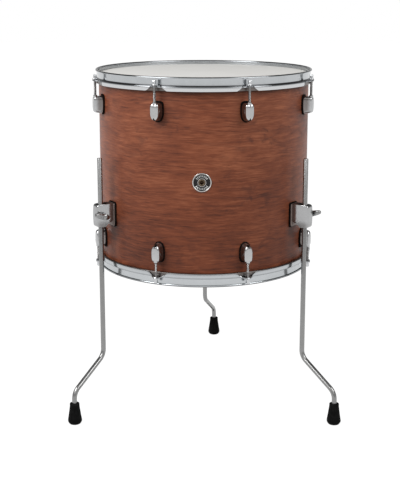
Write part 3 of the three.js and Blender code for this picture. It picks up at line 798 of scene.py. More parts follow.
# Heads: a film over the bearing edge with a collar and a lip that hooks into its ring
filmSizes = {
    "lift": 0.3,  # bearing edge to the underside of the film
    "thickness": 0.5,
    "shoulder": 226.3,  # radii where the flat film ends, of the collar and of the lip
    "collar": 228.3,
    "lip": 231.1,
    "collarHeight": -8.0,
    "lipHeight": -14.3,
    "lipHalf": 0.25,  # half thickness of the lip
    "innerRings": (80, 160),  # radii of rings of faces in the flat film
    "sides": 240,
}


def makeHead(end, finish, slot):
    film = filmSizes
    inner = film["lift"]
    outer = film["lift"] + film["thickness"]
    near, far = film["innerRings"]
    under, over = film["lipHeight"] - film["lipHalf"], film["lipHeight"] + film["lipHalf"]
    bend = film["collar"] - film["shoulder"] + 0.2
    underside = [(0, inner), (near, inner), (far, inner)]
    underside += arc((film["shoulder"], inner - bend), bend, 90, 6, 7)
    underside += [(film["collar"], film["collarHeight"]), (film["collar"], under)]
    lip = [(film["lip"], under), (film["lip"], over)]
    side = film["collar"] + film["thickness"]
    outside = [(side, over), (side, film["collarHeight"])]
    outside += arc((film["shoulder"], inner - bend), bend + film["thickness"], 6, 90, 7)
    outside += [(far, outer), (near, outer), (0, outer)]
    form = lathe(underside + lip + outside, film["sides"], False)
    makePiece(end + "Film", moved(form, endMatrix(end)), finish, "drum", slot, [end + "_head"], 40)


def makeRing(end):  # the metal ring that holds the film, a rolled channel
    ring = {
        "inner": 229.15,
        "outer": 235.0,
        "top": -10.35,
        "bottom": -18.25,
        "wall": 1.0,
        "corner": 0.5,
        "slot": 231.5,  # radius of the bottom of the slot for the film's lip
        "slotHalf": 1.6,
        "sides": 192,
    }
    inner, outer, wall, corner = ring["inner"], ring["outer"], ring["wall"], ring["corner"]
    top, bottom, middle = ring["top"], ring["bottom"], filmSizes["lipHeight"]
    high, low = middle + ring["slotHalf"], middle - ring["slotHalf"]
    outline = arc((outer - wall, top - wall), wall, 0, 90, 4)
    outline += arc((inner + corner, top - corner), corner, 90, 180, 3)
    outline += [(inner, high), (ring["slot"], high), (ring["slot"], low), (inner, low)]
    outline += arc((inner + corner, bottom + corner), corner, 180, 270, 3)
    outline += arc((outer - wall, bottom + wall), wall, 270, 360, 4)
    form = moved(lathe(outline, ring["sides"]), endMatrix(end))
    nodes = [end + "_flesh_hoop"]
    makePiece(end + "FleshHoop", form, finishes["ring"], end + "_rim", "flesh_hoop_metal", nodes)


# Hoops: one bent sheet, followed round the drum, with ears for the tension rods
hoopSizes = {
    "sheet": 2.0,
    "bend": 1.6,  # of the middle of the sheet
    "wall": 230.65,  # drum axis to the middle of the standing wall
    "rise": 9.0,  # bearing edge to the middle of the sheet at its top
    "curl": 1.5,  # radius of the rolled top edge
    "curlTurn": -10,  # where the roll ends, in degrees from straight out
    "ledge": -9.0,  # height of the middle of the sheet where it lies flat
    "skirt": 237.0,  # drum axis to the outside of the hanging skirt
    "skirtDrop": -17.5,  # height of the skirt's lower edge
    "leastSkirt": 0.3,  # what is left of the skirt at an ear
    "earReach": 250.8,
    "earHalfWidth": 13.5,
    "earPower": 2.6,  # squareness of an ear seen from above
    "earBend": 12,  # degrees that the sheet turns down at an ear
    "bendFrom": 17.0,  # rod axis to where the bend is a right angle
    "bendTo": 4.0,
    "notchFrom": 24.5,  # rod axis to where the skirt starts to rise
    "notchTo": 12.5,
    "stepsBetween": 14,  # between two ears
    "holeRadius": 3.2,
}


def sheetOutline(out, bendAngle, drop):
    hoop = hoopSizes
    half = hoop["sheet"] / 2
    bend = hoop["bend"]
    skirt = hoop["skirt"] + out
    curl = hoop["curl"]
    path = []  # radius and height along the middle of the sheet, and the way across it

    def along(centre, radius, start, end, steps, side):
        for r, z in arc(centre, radius, start, end, steps):
            path.append((r, z, side * (r - centre[0]) / radius, side * (z - centre[1]) / radius))

    def rounded(station, corners):
        r, z, across, up = station
        return [(r + half * (across * c - up * s), z + half * (up * c + across * s)) for c, s in corners]

    along((hoop["wall"] + curl, hoop["rise"] - curl), curl, hoop["curlTurn"], 180, 13, 1)
    along((hoop["wall"] + bend, hoop["ledge"] + bend), bend, 180, 270, 6, 1)
    along((skirt - bend, hoop["ledge"] - bend), bend, 90, 90 - bendAngle, 6, -1)
    r, z, across, up = path[-1]
    path.append((r - up * drop, z + across * drop, across, up))
    inner = [(r + across * half, z + up * half) for r, z, across, up in path]
    outer = [(r - across * half, z - up * half) for r, z, across, up in reversed(path)]
    end = rounded(path[-1], ((0.7, 0.7), (0, 1), (-0.7, 0.7)))
    tip = rounded(path[0], ((-0.7, -0.7), (0, -1), (0.7, -0.7)))
    return inner + end + outer + tip


def makeHoop(end):
    hoop = hoopSizes
    # stations at one side of an ear, as shares of the notch
    shares = [-1, -0.9, -0.75, -0.6, -0.54, -0.47, -0.38, -0.26, -0.13, 0]
    near = [share * (hoop["notchFrom"] + 1.5) for share in shares]
    near += [-place for place in reversed(near[:-1])]
    gap = lugStep - 2 * math.degrees(near[-1] / rodCircle)
    steps = hoop["stepsBetween"]
    full = hoop["ledge"] - hoop["bend"] - hoop["skirtDrop"]
    rings = []
    for ear in range(lugCount):
        middle = firstLug + ear * lugStep
        places = [middle + math.degrees(place / rodCircle) for place in near]
        places += [places[-1] + gap * step / steps for step in range(1, steps)]
        for azimuth in places:
            off = abs(math.radians(azimuth - middle) * rodCircle)
            inEar = max(0.0, 1 - (off / hoop["earHalfWidth"]) ** hoop["earPower"])
            out = (hoop["earReach"] - 1 - hoop["skirt"]) * inEar
            rise = ease((off - hoop["notchTo"]) / (hoop["notchFrom"] - hoop["notchTo"]))
            bent = ease((off - hoop["bendTo"]) / (hoop["bendFrom"] - hoop["bendTo"]))
            drop = blend(hoop["leastSkirt"], full, rise)
            outline = sheetOutline(out, blend(hoop["earBend"], 90, bent), drop)
            turn = math.radians(azimuth)
            rings.append([(r * math.sin(turn), -r * math.cos(turn), z) for r, z in outline])
    form = stitch(rings, looped=True)
    hole = cylinder(hoop["holeRadius"], -14, -4, 32)
    holes = [
        ("DIFFERENCE", moved(hole, turnAbout("Z", firstLug + ear * lugStep) @ standAt((0, -rodCircle, 0))))
        for ear in range(lugCount)
    ]
    form = moved(carved(form, *holes), endMatrix(end))
    makePiece(end + "Hoop", form, finishes["hoop"], end + "_rim", "hoop_chrome", [end + "_hoop"], 38)


# Tension rods: square head, flange, plain neck and rolled thread
rodSizes = {
    "radius": 2.75,
    "seat": -7.7,  # height of the underside of the flange
    "length": 48.0,  # under the flange
    "flange": 5.7,
    "flangeHeight": 3.2,
    "head": 6.35,  # across its flats
    "headHeight": 8.0,
    "headCorner": 0.55,
    "thread": 34.0,  # length of the threaded part
    "pitch": 1.058,
    "depth": 0.42,
    "rowsPerTurn": 5,
}


def rodForm():
    rod = rodSizes
    seat = rod["seat"]
    end = seat - rod["length"]
    top = seat + rod["flangeHeight"]
    neck = rod["radius"] - 0.15
    core = rod["radius"] - rod["depth"] - 0.05
    flange = rod["flange"]
    body = [(0, end), (core - 1.3, end), (core, end + 1.3), (core, seat - 10)]
    body += [(neck, seat - 10.5), (neck, seat - 0.4), (rod["radius"] + 0.3, seat)]
    body += [(flange - 0.3, seat), (flange, seat + 0.35), (flange, seat + 1.0)]
    body += [(flange - 0.35, seat + 1.4), (4.6, seat + 2.2), (4.1, top), (0, top)]
    shaft = lathe(body, 28, False)
    headTop = top + rod["headHeight"]
    rings = []
    for grow, z in ((0.0, top - 1), (0.0, headTop - 0.9), (-0.25, headTop - 0.35), (-0.8, headTop)):
        side = rod["head"] / 2 + grow
        near = side - rod["headCorner"]
        corners = [(side, near), (near, side), (-near, side), (-side, near)]
        corners += [(-side, -near), (-near, -side), (near, -side), (side, -near)]
        rings.append([(x, y, z) for x, y in corners])
    head = stitch(rings)
    values = {key: rod[key] for key in ("radius", "depth", "pitch")}
    values["length"] = rod["thread"]
    values["rows"] = round(rod["thread"] / rod["pitch"] * rod["rowsPerTurn"])
    thread = threadTree.run(**values, sides=20, finish=finishes["rod"])
    thread = moved(thread, lift(end + 1.2 + rod["thread"] / 2))
    return joinForms([shaft, head, thread])


def makeRods():
    form = rodForm()
    for end in endNames:
        for number in range(1, lugCount + 1):
            name = f"{end}_rod_{number}"
            azimuth = firstLug + (number - 1) * lugStep
            place = endMatrix(end, azimuth) @ standAt((0, -rodCircle, 0))
            pieceName = f"{end}Rod{number}"
            makePiece(pieceName, moved(form, place), finishes["rod"], name, "rod_chrome", [name], 30)


# Lugs: a casting that narrows from its dark gasket to a flat front with a notched heel
lugSizes = {
    "drop": 60.0,  # bearing edge to the middle of a lug
    "seat": 0.2,  # shell to the back of the gasket
    "gasket": 2.7,
    "gasketHalf": 10.8,  # half width, top and bottom of the gasket before its rounded edge
    "gasketTop": 19.9,
    "gasketBottom": 19.1,
    "reach": 22.0,  # how far a lug stands off the shell
    # share of the depth, half width, top, bottom, squareness of the top
    "stations": (
        (0.0, 10.7, 18.2, 18.6, 4.0),
        (0.03, 11.1, 18.7, 19.0, 4.2),
        (0.08, 11.1, 18.8, 18.9, 4.4),
        (0.16, 10.7, 18.5, 18.5, 4.8),
        (0.28, 10.1, 18.1, 18.1, 5.2),
        (0.42, 9.6, 17.8, 17.7, 5.4),
        (0.56, 9.3, 17.6, 17.3, 5.4),
        (0.68, 9.1, 17.5, 16.8, 5.4),
        (0.78, 8.9, 17.4, 16.2, 5.2),
        (0.86, 8.6, 17.1, 15.4, 5.0),
        (0.92, 8.0, 16.0, 14.3, 4.8),
        (0.96, 7.1, 14.3, 12.8, 4.6),
        (0.983, 5.9, 12.0, 11.0, 4.4),
        (0.995, 4.2, 9.0, 8.6, 4.2),
        (1.0, 2.0, 5.0, 5.0, 4.0),
    ),
    "heelSquareness": 2.15,
    "heelSideSquareness": 2.3,
    "notchHalf": 6.2,  # half width and depth of the notch under the heel
    "notchDepth": 14.0,
    "notchTop": -9.6,
    "notchFrom": -19.5,
    "notchInner": 0.35,  # share of the width that is left at the bottom of the notch
    # height and distance behind the face of the dark filling in the notch, a painted shade
    "paintedShadeFilling": ((-17.3, 9.5), (-16.5, 6.5), (-15.0, 3.6), (-13.5, 2.1), (-12.0, 1.2), (-10.6, 0.5)),
    "ribFrom": (0.84, -4.5, 8.75),  # share of the depth, height and place across at each end of the ribs
    "ribTo": (0.34, 9.5, 9.9),
    "rib": 0.75,  # half width of a rib
    "ribProud": 0.5,  # how far the middle of a rib stands out
    "ribWay": (0.55, 0.83),  # outwards and upwards, across a rib
    "collarRadius": 4.4,
    "collarTop": 20.3,
    "boreRadius": 3.0,
    "steps": 64,  # points round an outline
}


def lugOutline(half, top, bottom, squareness):
    lug = lugSizes
    ring = []
    for step in range(lug["steps"]):
        turn = 2 * math.pi * step / lug["steps"]
        c, s = math.cos(turn), math.sin(turn)
        tall, power, sidePower = top, squareness, squareness
        if c <= 0:
            tall, power, sidePower = -bottom, lug["heelSquareness"], lug["heelSideSquareness"]
        ring.append((half * signedPower(s, 2 / sidePower), tall * abs(c) ** (2 / power)))
    return ring


# The wedge that is cut upwards from the heel into the outer face
def notchSize(z):
    lug = lugSizes
    share = (lug["notchTop"] - z) / (lug["notchTop"] - lug["notchFrom"])
    return lug["notchHalf"] * share + 0.1, lug["notchDepth"] * share


def notchForm(outer):
    lug = lugSizes
    rings = []
    for step in range(7):
        z = blend(lug["notchFrom"], lug["notchTop"], step / 6)
        half, depth = notchSize(z)
        far, near, narrow = outer + 3, outer - depth, half * lug["notchInner"]
        rings.append([(-half, -far, z), (half, -far, z), (narrow, -near, z), (-narrow, -near, z)])
    return stitch(rings)


# A dark piece in the notch under the heel, which paints the shade in it
def paintedShadeFillingForm(outer):
    lug = lugSizes
    rings = []
    for z, recess in lug["paintedShadeFilling"]:
        half, depth = notchSize(z)
        inner = half * lug["notchInner"]
        far, near = outer - recess, outer - depth - 0.3
        wide, narrow = blend(half, inner, (recess + 3) / (depth + 3)) + 0.2, inner + 0.2
        rings.append([(-wide, -far, z), (wide, -far, z), (narrow, -near, z), (-narrow, -near, z)])
    return stitch(rings)


# A raised line on each side of a lug, from its face back and up to the shell
def ribForm(side, base, depth):
    lug = lugSizes
    outwards, upwards = lug["ribWay"]
    rings = []
    for step in range(9):
        share, z, face = [blend(start, end, step / 8) for start, end in zip(lug["ribFrom"], lug["ribTo"])]
        face *= 1 - 0.02 * ease(-z / 5)
        swell = math.sin(math.pi * step / 8)
        wide = lug["rib"] * (0.4 + 0.6 * swell)
        crest = face - 0.25 + (lug["ribProud"] + 0.25) * swell
        out = base + depth * share
        corners = [(face - 0.9, -wide * 1.3), (crest - 0.25, -wide * 0.6), (crest, 0)]
        corners += [(crest - 0.25, wide * 0.6), (face - 0.9, wide * 1.3)]
        rings.append([(side * x, -out - across * outwards, z - across * upwards) for x, across in corners])
    return stitch(rings)


def lugForms():
    lug = lugSizes
    seat = shellRadius + lug["seat"]
    base = seat + lug["gasket"]
    outer = shellRadius + lug["reach"]
    depth = outer - base
    rings = []
    for share, half, top, bottom, squareness in lug["stations"]:
        ring = []
        for x, z in lugOutline(half, top, bottom, squareness):
            out = base + depth * share
            if share == 0:
                out = math.sqrt(base * base - x * x)
            ring.append((x, -out, z))
        rings.append(ring)
    upright = standAt((0, -rodCircle, 0))
    radius, high = lug["collarRadius"], lug["collarTop"]
    collar = [(0, 10.0), (radius, 10.0), (radius, high - 0.8), (radius - 0.7, high), (0, high)]
    collar = moved(lathe(collar, 40, False), upright)
    bore = moved(cylinder(lug["boreRadius"], 1.0, 30.0, 32), upright)
    steps = [("UNION", ribForm(side, base, depth)) for side in (-1, 1)]
    steps += [("UNION", collar), ("DIFFERENCE", bore), ("DIFFERENCE", notchForm(outer))]
    casting = carved(stitch(rings), *steps)
    thick = lug["gasket"]
    half, top, bottom = lug["gasketHalf"], lug["gasketTop"], lug["gasketBottom"]
    profile = [(0.0, 0.0), (1.3, 0.0), (1.8, 0.4)]
    profile += [(1.8, thick - 0.5), (1.3, thick - 0.1), (0.0, thick - 0.1)]
    pad = []
    for grow, out in profile:
        outline = lugOutline(half + grow, top + grow, bottom + grow, 4.0)
        pad.append([(x, -math.sqrt((seat + out) ** 2 - x * x), z) for x, z in outline])
    # the gaskets, with the dark pieces that paint the shade in the notches
    gasket = joinForms([stitch(pad), paintedShadeFillingForm(outer)])
    return moved(casting, lift(-lug["drop"])), moved(gasket, lift(-lug["drop"]))


def makeLugs():
    # the gasket form also carries the dark pieces that paint the shade in the notches
    casting, gasket = lugForms()
    for end in endNames:
        nodes = [f"{end}_lug_{number}" for number in range(1, lugCount + 1)]
        for name, form, finish, slot, replaced in (
            (end + "Lugs", casting, "lug", "cast_chrome", nodes),
            (end + "LugGaskets", gasket, "gasket", "gasket_rubber", []),
        ):
            start = moved(form, endMatrix(end))
            ringed = aroundCircle(start, lugCount, firstLug, lugStep, finishes[finish])
            makePiece(name, ringed, finishes[finish], "drum", slot, replaced, 30)


makeShell()
print("shell ready")
makeHead("batter", finishes["film"], "batter_film")
makeHead("resonant", finishes["clear"], "resonant_film")
for endName in endNames:
    makeRing(endName)
    makeHoop(endName)
print("heads and hoops ready")
makeRods()
makeLugs()
print("rods and lugs ready")

# Badge: rings and bars without lettering, curved to the shell, and its hollow grommet


def makeBadge():
    badge = {
        "radius": 19.3,
        "hole": 5.7,
        "seat": 0.35,  # shell to the back of the badge
        "bars": 8,  # in each of two rows, over and under the vent
        "barStep": 15.0,
        "barFrom": 11.0,
        "barTo": 15.0,
        "barHalf": 0.62,
        "barFlare": 1.7,  # how much wider the outer ends are
    }
    rim = badge["radius"]
    hole = badge["hole"]
    outline = [(hole, 0.0), (rim - 0.4, 0.0), (rim, 0.4), (rim, 0.9), (rim - 0.5, 1.4), (rim - 1.9, 1.4)]
    outline += [(rim - 2.3, 1.0), (8.9, 1.0), (8.6, 1.3), (8.0, 1.35), (7.6, 1.1), (hole, 1.1)]

    def onShell(form):
        points = []
        for point in form[0]:
            out = shellRadius + badge["seat"] + point.z
            turn = point.x / shellRadius
            points.append(Vector((out * math.sin(turn), -out * math.cos(turn), ventHeight + point.y)))
        return points, form[1]

    disc = onShell(lathe(outline, 96))
    makePiece("badgeDisc", disc, badgeFinish(), "drum", "badge_metal", ["badge"], 30)
    rings = []
    for share, height in ((1.0, 0.9), (1.0, 1.25), (0.7, 1.4)):
        half = badge["barHalf"] * share
        wide = half * badge["barFlare"]
        low, high = badge["barFrom"], badge["barTo"]
        corners = ((-half, low), (half, low), (wide, high), (-wide, high))
        rings.append([(x, y, height) for x, y in corners])
    spread = badge["barStep"] * (badge["bars"] - 1) / 2
    rows = [
        aroundCircle(stitch(rings), badge["bars"], first - spread, badge["barStep"], finishes["steel"])
        for first in (0, 180)
    ]
    makePiece("badgeBars", onShell(joinForms(rows)), finishes["steel"], "drum", "badge_metal", (), 30)


def badgeFinish():
    look = {
        "silver": ((0.42, 0.40, 0.385), (0.58, 0.56, 0.54)),
        "enamel": ((0.006, 0.006, 0.007), (0.014, 0.013, 0.013)),
        "enamelFrom": (8.55, 8.75),  # radii about the vent
        "enamelTo": (16.95, 17.1),
        "roughness": 0.26,
    }
    metal = Finish("badgeMetal", Specular_IOR_Level=0.2)
    place = aboutDrum(metal) - (0.0, 0.0, inMetres(ventHeight))
    out = metal.length(place * (1.0, 0.0, 1.0))
    inside = metal.range(out, *[inMetres(limit) for limit in look["enamelFrom"]])
    outside = metal.range(out, *[inMetres(limit) for limit in look["enamelTo"]])
    enamel = inside * (1 - outside)
    grain = metal.noise(metal.place, 700.0, 3.0, 0.6)
    silver = metal.mix(grain, *look["silver"])
    metal.put("Base Color", metal.mix(enamel, silver, metal.mix(grain, *look["enamel"])))
    metal.put("Metallic", 1 - enamel)
    metal.put("Roughness", look["roughness"] + (grain - 0.5) * 0.14 + enamel * 0.06)
    metal.bump(grain, 0.15, inMetres(0.05))
    return metal.material


def makeGrommet():
    grommet = {"radius": 5.2, "bore": 3.7, "flange": 7.3, "front": 1.8, "back": 8.2, "dome": 1.3}
    front = shellRadius + grommet["front"]
    back = shellRadius - grommet["back"]
    bore, barrel, flange = grommet["bore"], grommet["radius"], grommet["flange"]
    turns = [math.radians(step * 22.5) for step in range(1, 8)]
    spread = [(flange - bore) * (1 - math.cos(turn)) / 2 for turn in turns]
    domed = [grommet["dome"] * math.sin(turn) for turn in turns]
    outline = [(barrel, back), (barrel, front), (flange, front)]
    outline += [(flange - across, front + out) for across, out in zip(spread, domed)]
    outline += [(bore, front), (bore, back)]
    outline += [(bore + across, back - out) for across, out in zip(spread, domed)]
    outline += [(flange, back)]
    form = moved(lathe(outline, 48), lift(ventHeight) @ turnAbout("X", 90))
    makePiece("ventGrommet", form, finishes["bronze"], "drum", "bronze", ["vent_grommet"], 40)


makeBadge()
makeGrommet()
print("badge ready")

# Leg brackets, with their gaskets, clamp screws, legs and feet.
# Forms stand at azimuth 0: x is the side of the screw, -y is outwards and z is up.


def boxForm(low, high):
    corners = [(low[0], low[1]), (high[0], low[1]), (high[0], high[1]), (low[0], high[1])]
    return stitch([[(x, y, z) for x, y in corners] for z in (low[2], high[2])])


bracketSizes = {
    "halfAtNose": 10.8,
    "half": 13.2,
    "halfHeight": 24.0,
    "nose": 14.2,  # leg axis to the outer face
    "noseCorner": 4.2,  # of the upright edges of the nose
    "belly": 1.6,  # how far the outer face falls back at its top and bottom
    "corner": 4.5,  # of its top and bottom edges
    "neckFrom": 239.8,  # drum axis to where the sides turn in towards the foot
    "neckHalf": 12.2,
    "heel": 13.2,  # middle to where the underside meets the foot
    "underside": (5.2, 14.0),  # leg axis in to its start, and to the point that it bends towards
    "footHalf": 13.4,
    "footHalfHeight": 24.6,
    "footCorner": 3.6,
    "gasket": 2.5,
    "gasketMargin": 1.8,
    "gasketCorner": 4.5,
    "boreRadius": 5.6,
    "screwBore": 4.1,
    "pocketHalf": 8.5,  # half width of the hollow in the top
    "pocketDepth": 7.5,
    "pocketFront": 9.6,  # leg axis to the front and the back of the hollow
    "pocketBack": 18.0,
}


# Where the underside ends at a height: it curves from behind the leg up to the foot
def bracketInside(z):
    size = bracketSizes
    low = size["halfHeight"] - size["heel"]
    near = math.sqrt(min(1.0, max(0.0, (-size["heel"] - z) / low)))
    far = 1 - near
    start, middle = [legCircle - inwards for inwards in size["underside"]]
    return near * near * start + 2 * near * far * middle + far * far * (shellRadius + 1)


def bracketSection(z):
    size = bracketSizes
    share = z / size["halfHeight"]
    outer = legCircle + size["nose"] - size["belly"] * share * share
    tuck = max(0.0, size["corner"] - size["halfHeight"] + abs(z))
    outer -= size["corner"] - math.sqrt(size["corner"] ** 2 - tuck ** 2)
    inner = bracketInside(z)
    neck = size["neckFrom"]
    corner = size["noseCorner"]
    front = outer - corner
    ring = [(x, r) for r, x in arc((front, size["halfAtNose"] - corner), corner, 0, 84, 6)]
    lip = max(inner, neck)
    for step in range(1, 6):
        r = blend(front, lip, step / 5)
        ring.append((blend(size["halfAtNose"], size["half"], (front - r) / (front - neck)), r))
    for step in range(1, 4):
        r = blend(lip, inner, step / 3)
        inward = ease((neck - r) / 3.0)
        ring.append((blend(size["half"], size["neckHalf"], inward) if r < neck else ring[-1][0], r))
    mirrored = [(-x, r) for x, r in reversed(ring)]
    return [(x, -r, z) for x, r in ring + mirrored]


# A groove that runs down the screw's side, from the nose towards the foot
grooveSizes = {
    "radii": (276.0, 238.5),  # drum axis to each end
    "heights": (3.5, -8.5),
    "half": 1.3,  # half width at its mouth
    "depth": 1.7,
    "sideFrom": 267.0,  # drum axis to where the side starts to widen
    "sideRun": 24.0,
}


def grooveForm():
    groove = grooveSizes
    rings = []
    for step in range(13):
        share = step / 12
        r = blend(*groove["radii"], share)
        z = blend(*groove["heights"], ease(share * 0.92) * 0.6 + share * 0.4)
        half = groove["half"] * math.sin(math.pi * min(1.0, 0.25 + share * 0.75)) + 0.15
        widened = min(1.0, max(0.0, (groove["sideFrom"] - r) / groove["sideRun"]))
        face = blend(bracketSizes["halfAtNose"], bracketSizes["half"], widened)
        depth = groove["depth"] * min(1.0, 1.25 * (1 - share) + 0.1)
        corners = [(face - depth, z + 0.1), (face + 3, z + half + 0.6)]
        corners += [(face + 3, z - half - 2.0), (face - depth * 0.7, z - 0.9)]
        rings.append([(x, -r, height) for x, height in corners])
    return stitch(rings)


def padRing(half, halfHeight, corner, radius, steps):  # a rounded outline, bent to a radius about the drum
    ring = []
    for cx, cz, start in ((1, 1, 0), (-1, 1, 90), (-1, -1, 180), (1, -1, 270)):
        ring += arc((cx * (half - corner), cz * (halfHeight - corner)), corner, start, start + 90, steps)
    return [(x, -math.sqrt(radius ** 2 - x * x), z) for x, z in ring]


def bracketForm():
    size = bracketSizes
    half = size["halfHeight"]
    heights = [-half, -half + 0.3, -half + 0.9, -half + 1.8, -half + 3.0, -half + 4.5]
    heights += [-18, -16.4, -15, -14, -size["heel"], -11, -7, -2, 2, 6, 10, 14, 17, 19.5]
    heights += [half - 3, half - 1.8, half - 0.8, half - 0.2, half]
    body = stitch([bracketSection(z) for z in heights])
    seat = shellRadius + 0.3 + size["gasket"] + 0.1
    foot = []
    for shrink, out in ((0.8, 0.0), (0.0, 0.5), (0.0, 2.0), (0.9, 3.0), (2.0, 3.6)):
        wide, high = size["footHalf"] - shrink, size["footHalfHeight"] - shrink
        foot.append(padRing(wide, high, size["footCorner"], seat + out, 6))
    back = cylinder(seat, -40, 40, 240)
    upright = standAt((0, -legCircle, 0))
    bore = moved(cylinder(size["boreRadius"], -40, 40, 40), upright)
    wide, low = size["pocketHalf"], half - size["pocketDepth"]
    front, rear = -legCircle - size["pocketFront"], -legCircle + size["pocketBack"]
    pocket = boxForm((-wide, front, low), (wide, rear, half + 5))
    screw = moved(cylinder(size["screwBore"], 0, 30, 32), upright @ turnAbout("Y", 90))
    tools = [back, bore, pocket, grooveForm(), screw]
    return carved(body, ("UNION", stitch(foot)), *[("DIFFERENCE", tool) for tool in tools])


def gasketForm():
    size = bracketSizes
    inner = shellRadius + 0.25
    rings = []
    for shrink, out in ((1.0, 0.0), (0.0, 0.3), (0.0, size["gasket"] - 0.3), (0.6, size["gasket"])):
        margin = size["gasketMargin"] - shrink
        wide, high = size["footHalf"] + margin, size["footHalfHeight"] + margin
        rings.append(padRing(wide, high, size["gasketCorner"], inner + out, 8))
    return stitch(rings)


screwSizes = {
    "radius": 3.8,
    "hub": 6.9,
    "hubFrom": 13.6,  # leg axis to each end of the hub
    "hubTo": 27.0,
    # place along the lever from the screw's axis, inner and outer side, half thickness
    "lever": (
        (-9.0, 18.5, 24.0, 2.2),
        (-8.1, 17.2, 25.4, 3.8),
        (-6.0, 16.2, 26.2, 5.0),
        (0.0, 15.6, 26.8, 6.0),
        (6.0, 15.8, 27.0, 6.3),
        (12.0, 16.6, 27.2, 5.9),
        (17.0, 17.4, 27.4, 5.2),
        (21.0, 18.2, 27.4, 4.5),
        (23.8, 19.0, 27.1, 3.7),
        (25.0, 19.9, 26.4, 2.8),
        (25.5, 21.2, 25.2, 1.6),
    ),
    "tilt": 15.0,  # degrees that the lever leans from straight outwards
}


def screwForm():
    size = screwSizes
    radius, hub, start, end = size["radius"], size["hub"], size["hubFrom"], size["hubTo"]
    outline = [(0, 5), (radius - 0.6, 5), (radius, 5.6), (radius, start - 0.1)]
    outline += [(hub - 0.6, start), (hub, start + 0.6), (hub - 0.7, 19.0), (hub - 0.7, end - 2.2)]
    outline += [(hub - 1.2, end - 0.9), (hub - 2.6, end), (0, end + 0.2)]
    body = moved(lathe(outline, 40, False), turnAbout("Y", 90))
    rings = []
    for place, near, far, half in size["lever"]:
        middle, width = (near + far) / 2, (far - near) / 2
        ring = []
        for step in range(20):
            turn = 2 * math.pi * step / 20
            x = middle + width * signedPower(math.cos(turn), 0.6)
            ring.append((x, -place, half * signedPower(math.sin(turn), 0.75)))
        rings.append(ring)
    lever = moved(stitch(rings), turnAbout("X", -size["tilt"]))
    return carved(body, ("UNION", lever))


legSizes = {
    "radius": 5.25,
    "top": 554.0,  # heights from the floor
    "upperBend": 124.0,
    "lowerBend": 68.0,
    "end": 10.0,
    "offset": 94.0,  # how far the foot stands from the upper part's axis
    "bendRadius": 25.0,
    "sides": 32,
}


def legForm():
    leg = legSizes
    radius, bendRadius, top, end = leg["radius"], leg["bendRadius"], leg["top"], leg["end"]
    slope = math.atan2(leg["upperBend"] - leg["lowerBend"], leg["offset"])
    bend = math.pi / 2 - slope
    setback = bendRadius * math.tan(bend / 2)
    # place outwards, height, turn and radius
    stations = [(0, top, 0, radius - 1.1), (0, top - 0.35, 0, radius - 0.4), (0, top - 1.1, 0, radius)]
    turns = [bend * step / 14 for step in range(15)]
    for turn in turns:
        out, down = bendRadius * (1 - math.cos(turn)), bendRadius * math.sin(turn)
        stations.append((out, leg["upperBend"] + setback - down, turn, radius))
    for turn in reversed(turns):
        inwards, up = bendRadius * (1 - math.cos(turn)), bendRadius * math.sin(turn)
        stations.append((leg["offset"] - inwards, leg["lowerBend"] - setback + up, turn, radius))
    stations += [(leg["offset"], end + 1, 0, radius), (leg["offset"], end, 0, radius - 1)]
    rings = []
    for out, up, turn, size in stations:
        ring = []
        for side in range(leg["sides"]):
            angle = 2 * math.pi * side / leg["sides"]
            across, along = size * math.sin(angle), size * math.cos(angle)
            ring.append((across, -out - along * math.cos(turn), up + along * math.sin(turn)))
        rings.append(ring)
    return stitch(rings)


footSizes = {
    "height": 45.0,
    "top": 10.0,  # radii at the top, at the widest place and of the sole
    "wide": 14.75,
    "sole": 11.0,
    "wideHeight": 9.5,
    "collar": 5.5,  # height of the plain part over the flutes
    "flutes": 12,
    "flute": 0.9,  # depth of a flute
    "socket": 5.4,  # radius of the hole for the leg, and the height of its floor
    "floor": 9.7,
}


def footForm():
    foot = footSizes
    height, wide, top, sole, socket = [foot[key] for key in ("height", "wide", "top", "sole", "socket")]
    neck = height - foot["collar"]
    sides = foot["flutes"] * 8
    # radius, height and share of the flutes' depth
    outline = [(sole - 4, 0.0, 0), (sole - 0.6, 0.0, 0), (sole + 0.6, 0.5, 0), (wide - 1.2, 3.2, 0)]
    outline += [(wide - 0.2, 5.4, 0), (wide, 7.4, 0), (wide - 0.15, foot["wideHeight"], 0.1)]
    for step in range(1, 9):
        share = step / 8
        z = blend(foot["wideHeight"] + 0.8, neck - 1.0, share)
        taper = blend(wide - 0.1, top + 0.35, share ** 0.92)
        outline.append((taper, z, min(1.0, 6 * share, 6 * (1.02 - share))))
    outline += [(top + 0.2, neck, 0), (top + 0.15, height - 1.1, 0), (top - 0.25, height - 0.35, 0)]
    outline += [(top - 1.0, height, 0), (socket + 0.5, height, 0)]
    outline += [(socket, height - 0.5, 0), (socket, foot["floor"], 0)]
    rings = []
    for radius, z, fluted in outline:
        ring = []
        for side in range(sides):
            turn = 2 * math.pi * side / sides
            groove = foot["flute"] * fluted * (0.5 - 0.5 * math.cos(turn * foot["flutes"])) ** 1.6
            ring.append(((radius - groove) * math.sin(turn), -(radius - groove) * math.cos(turn), z))
        rings.append(ring)
    return stitch(rings)


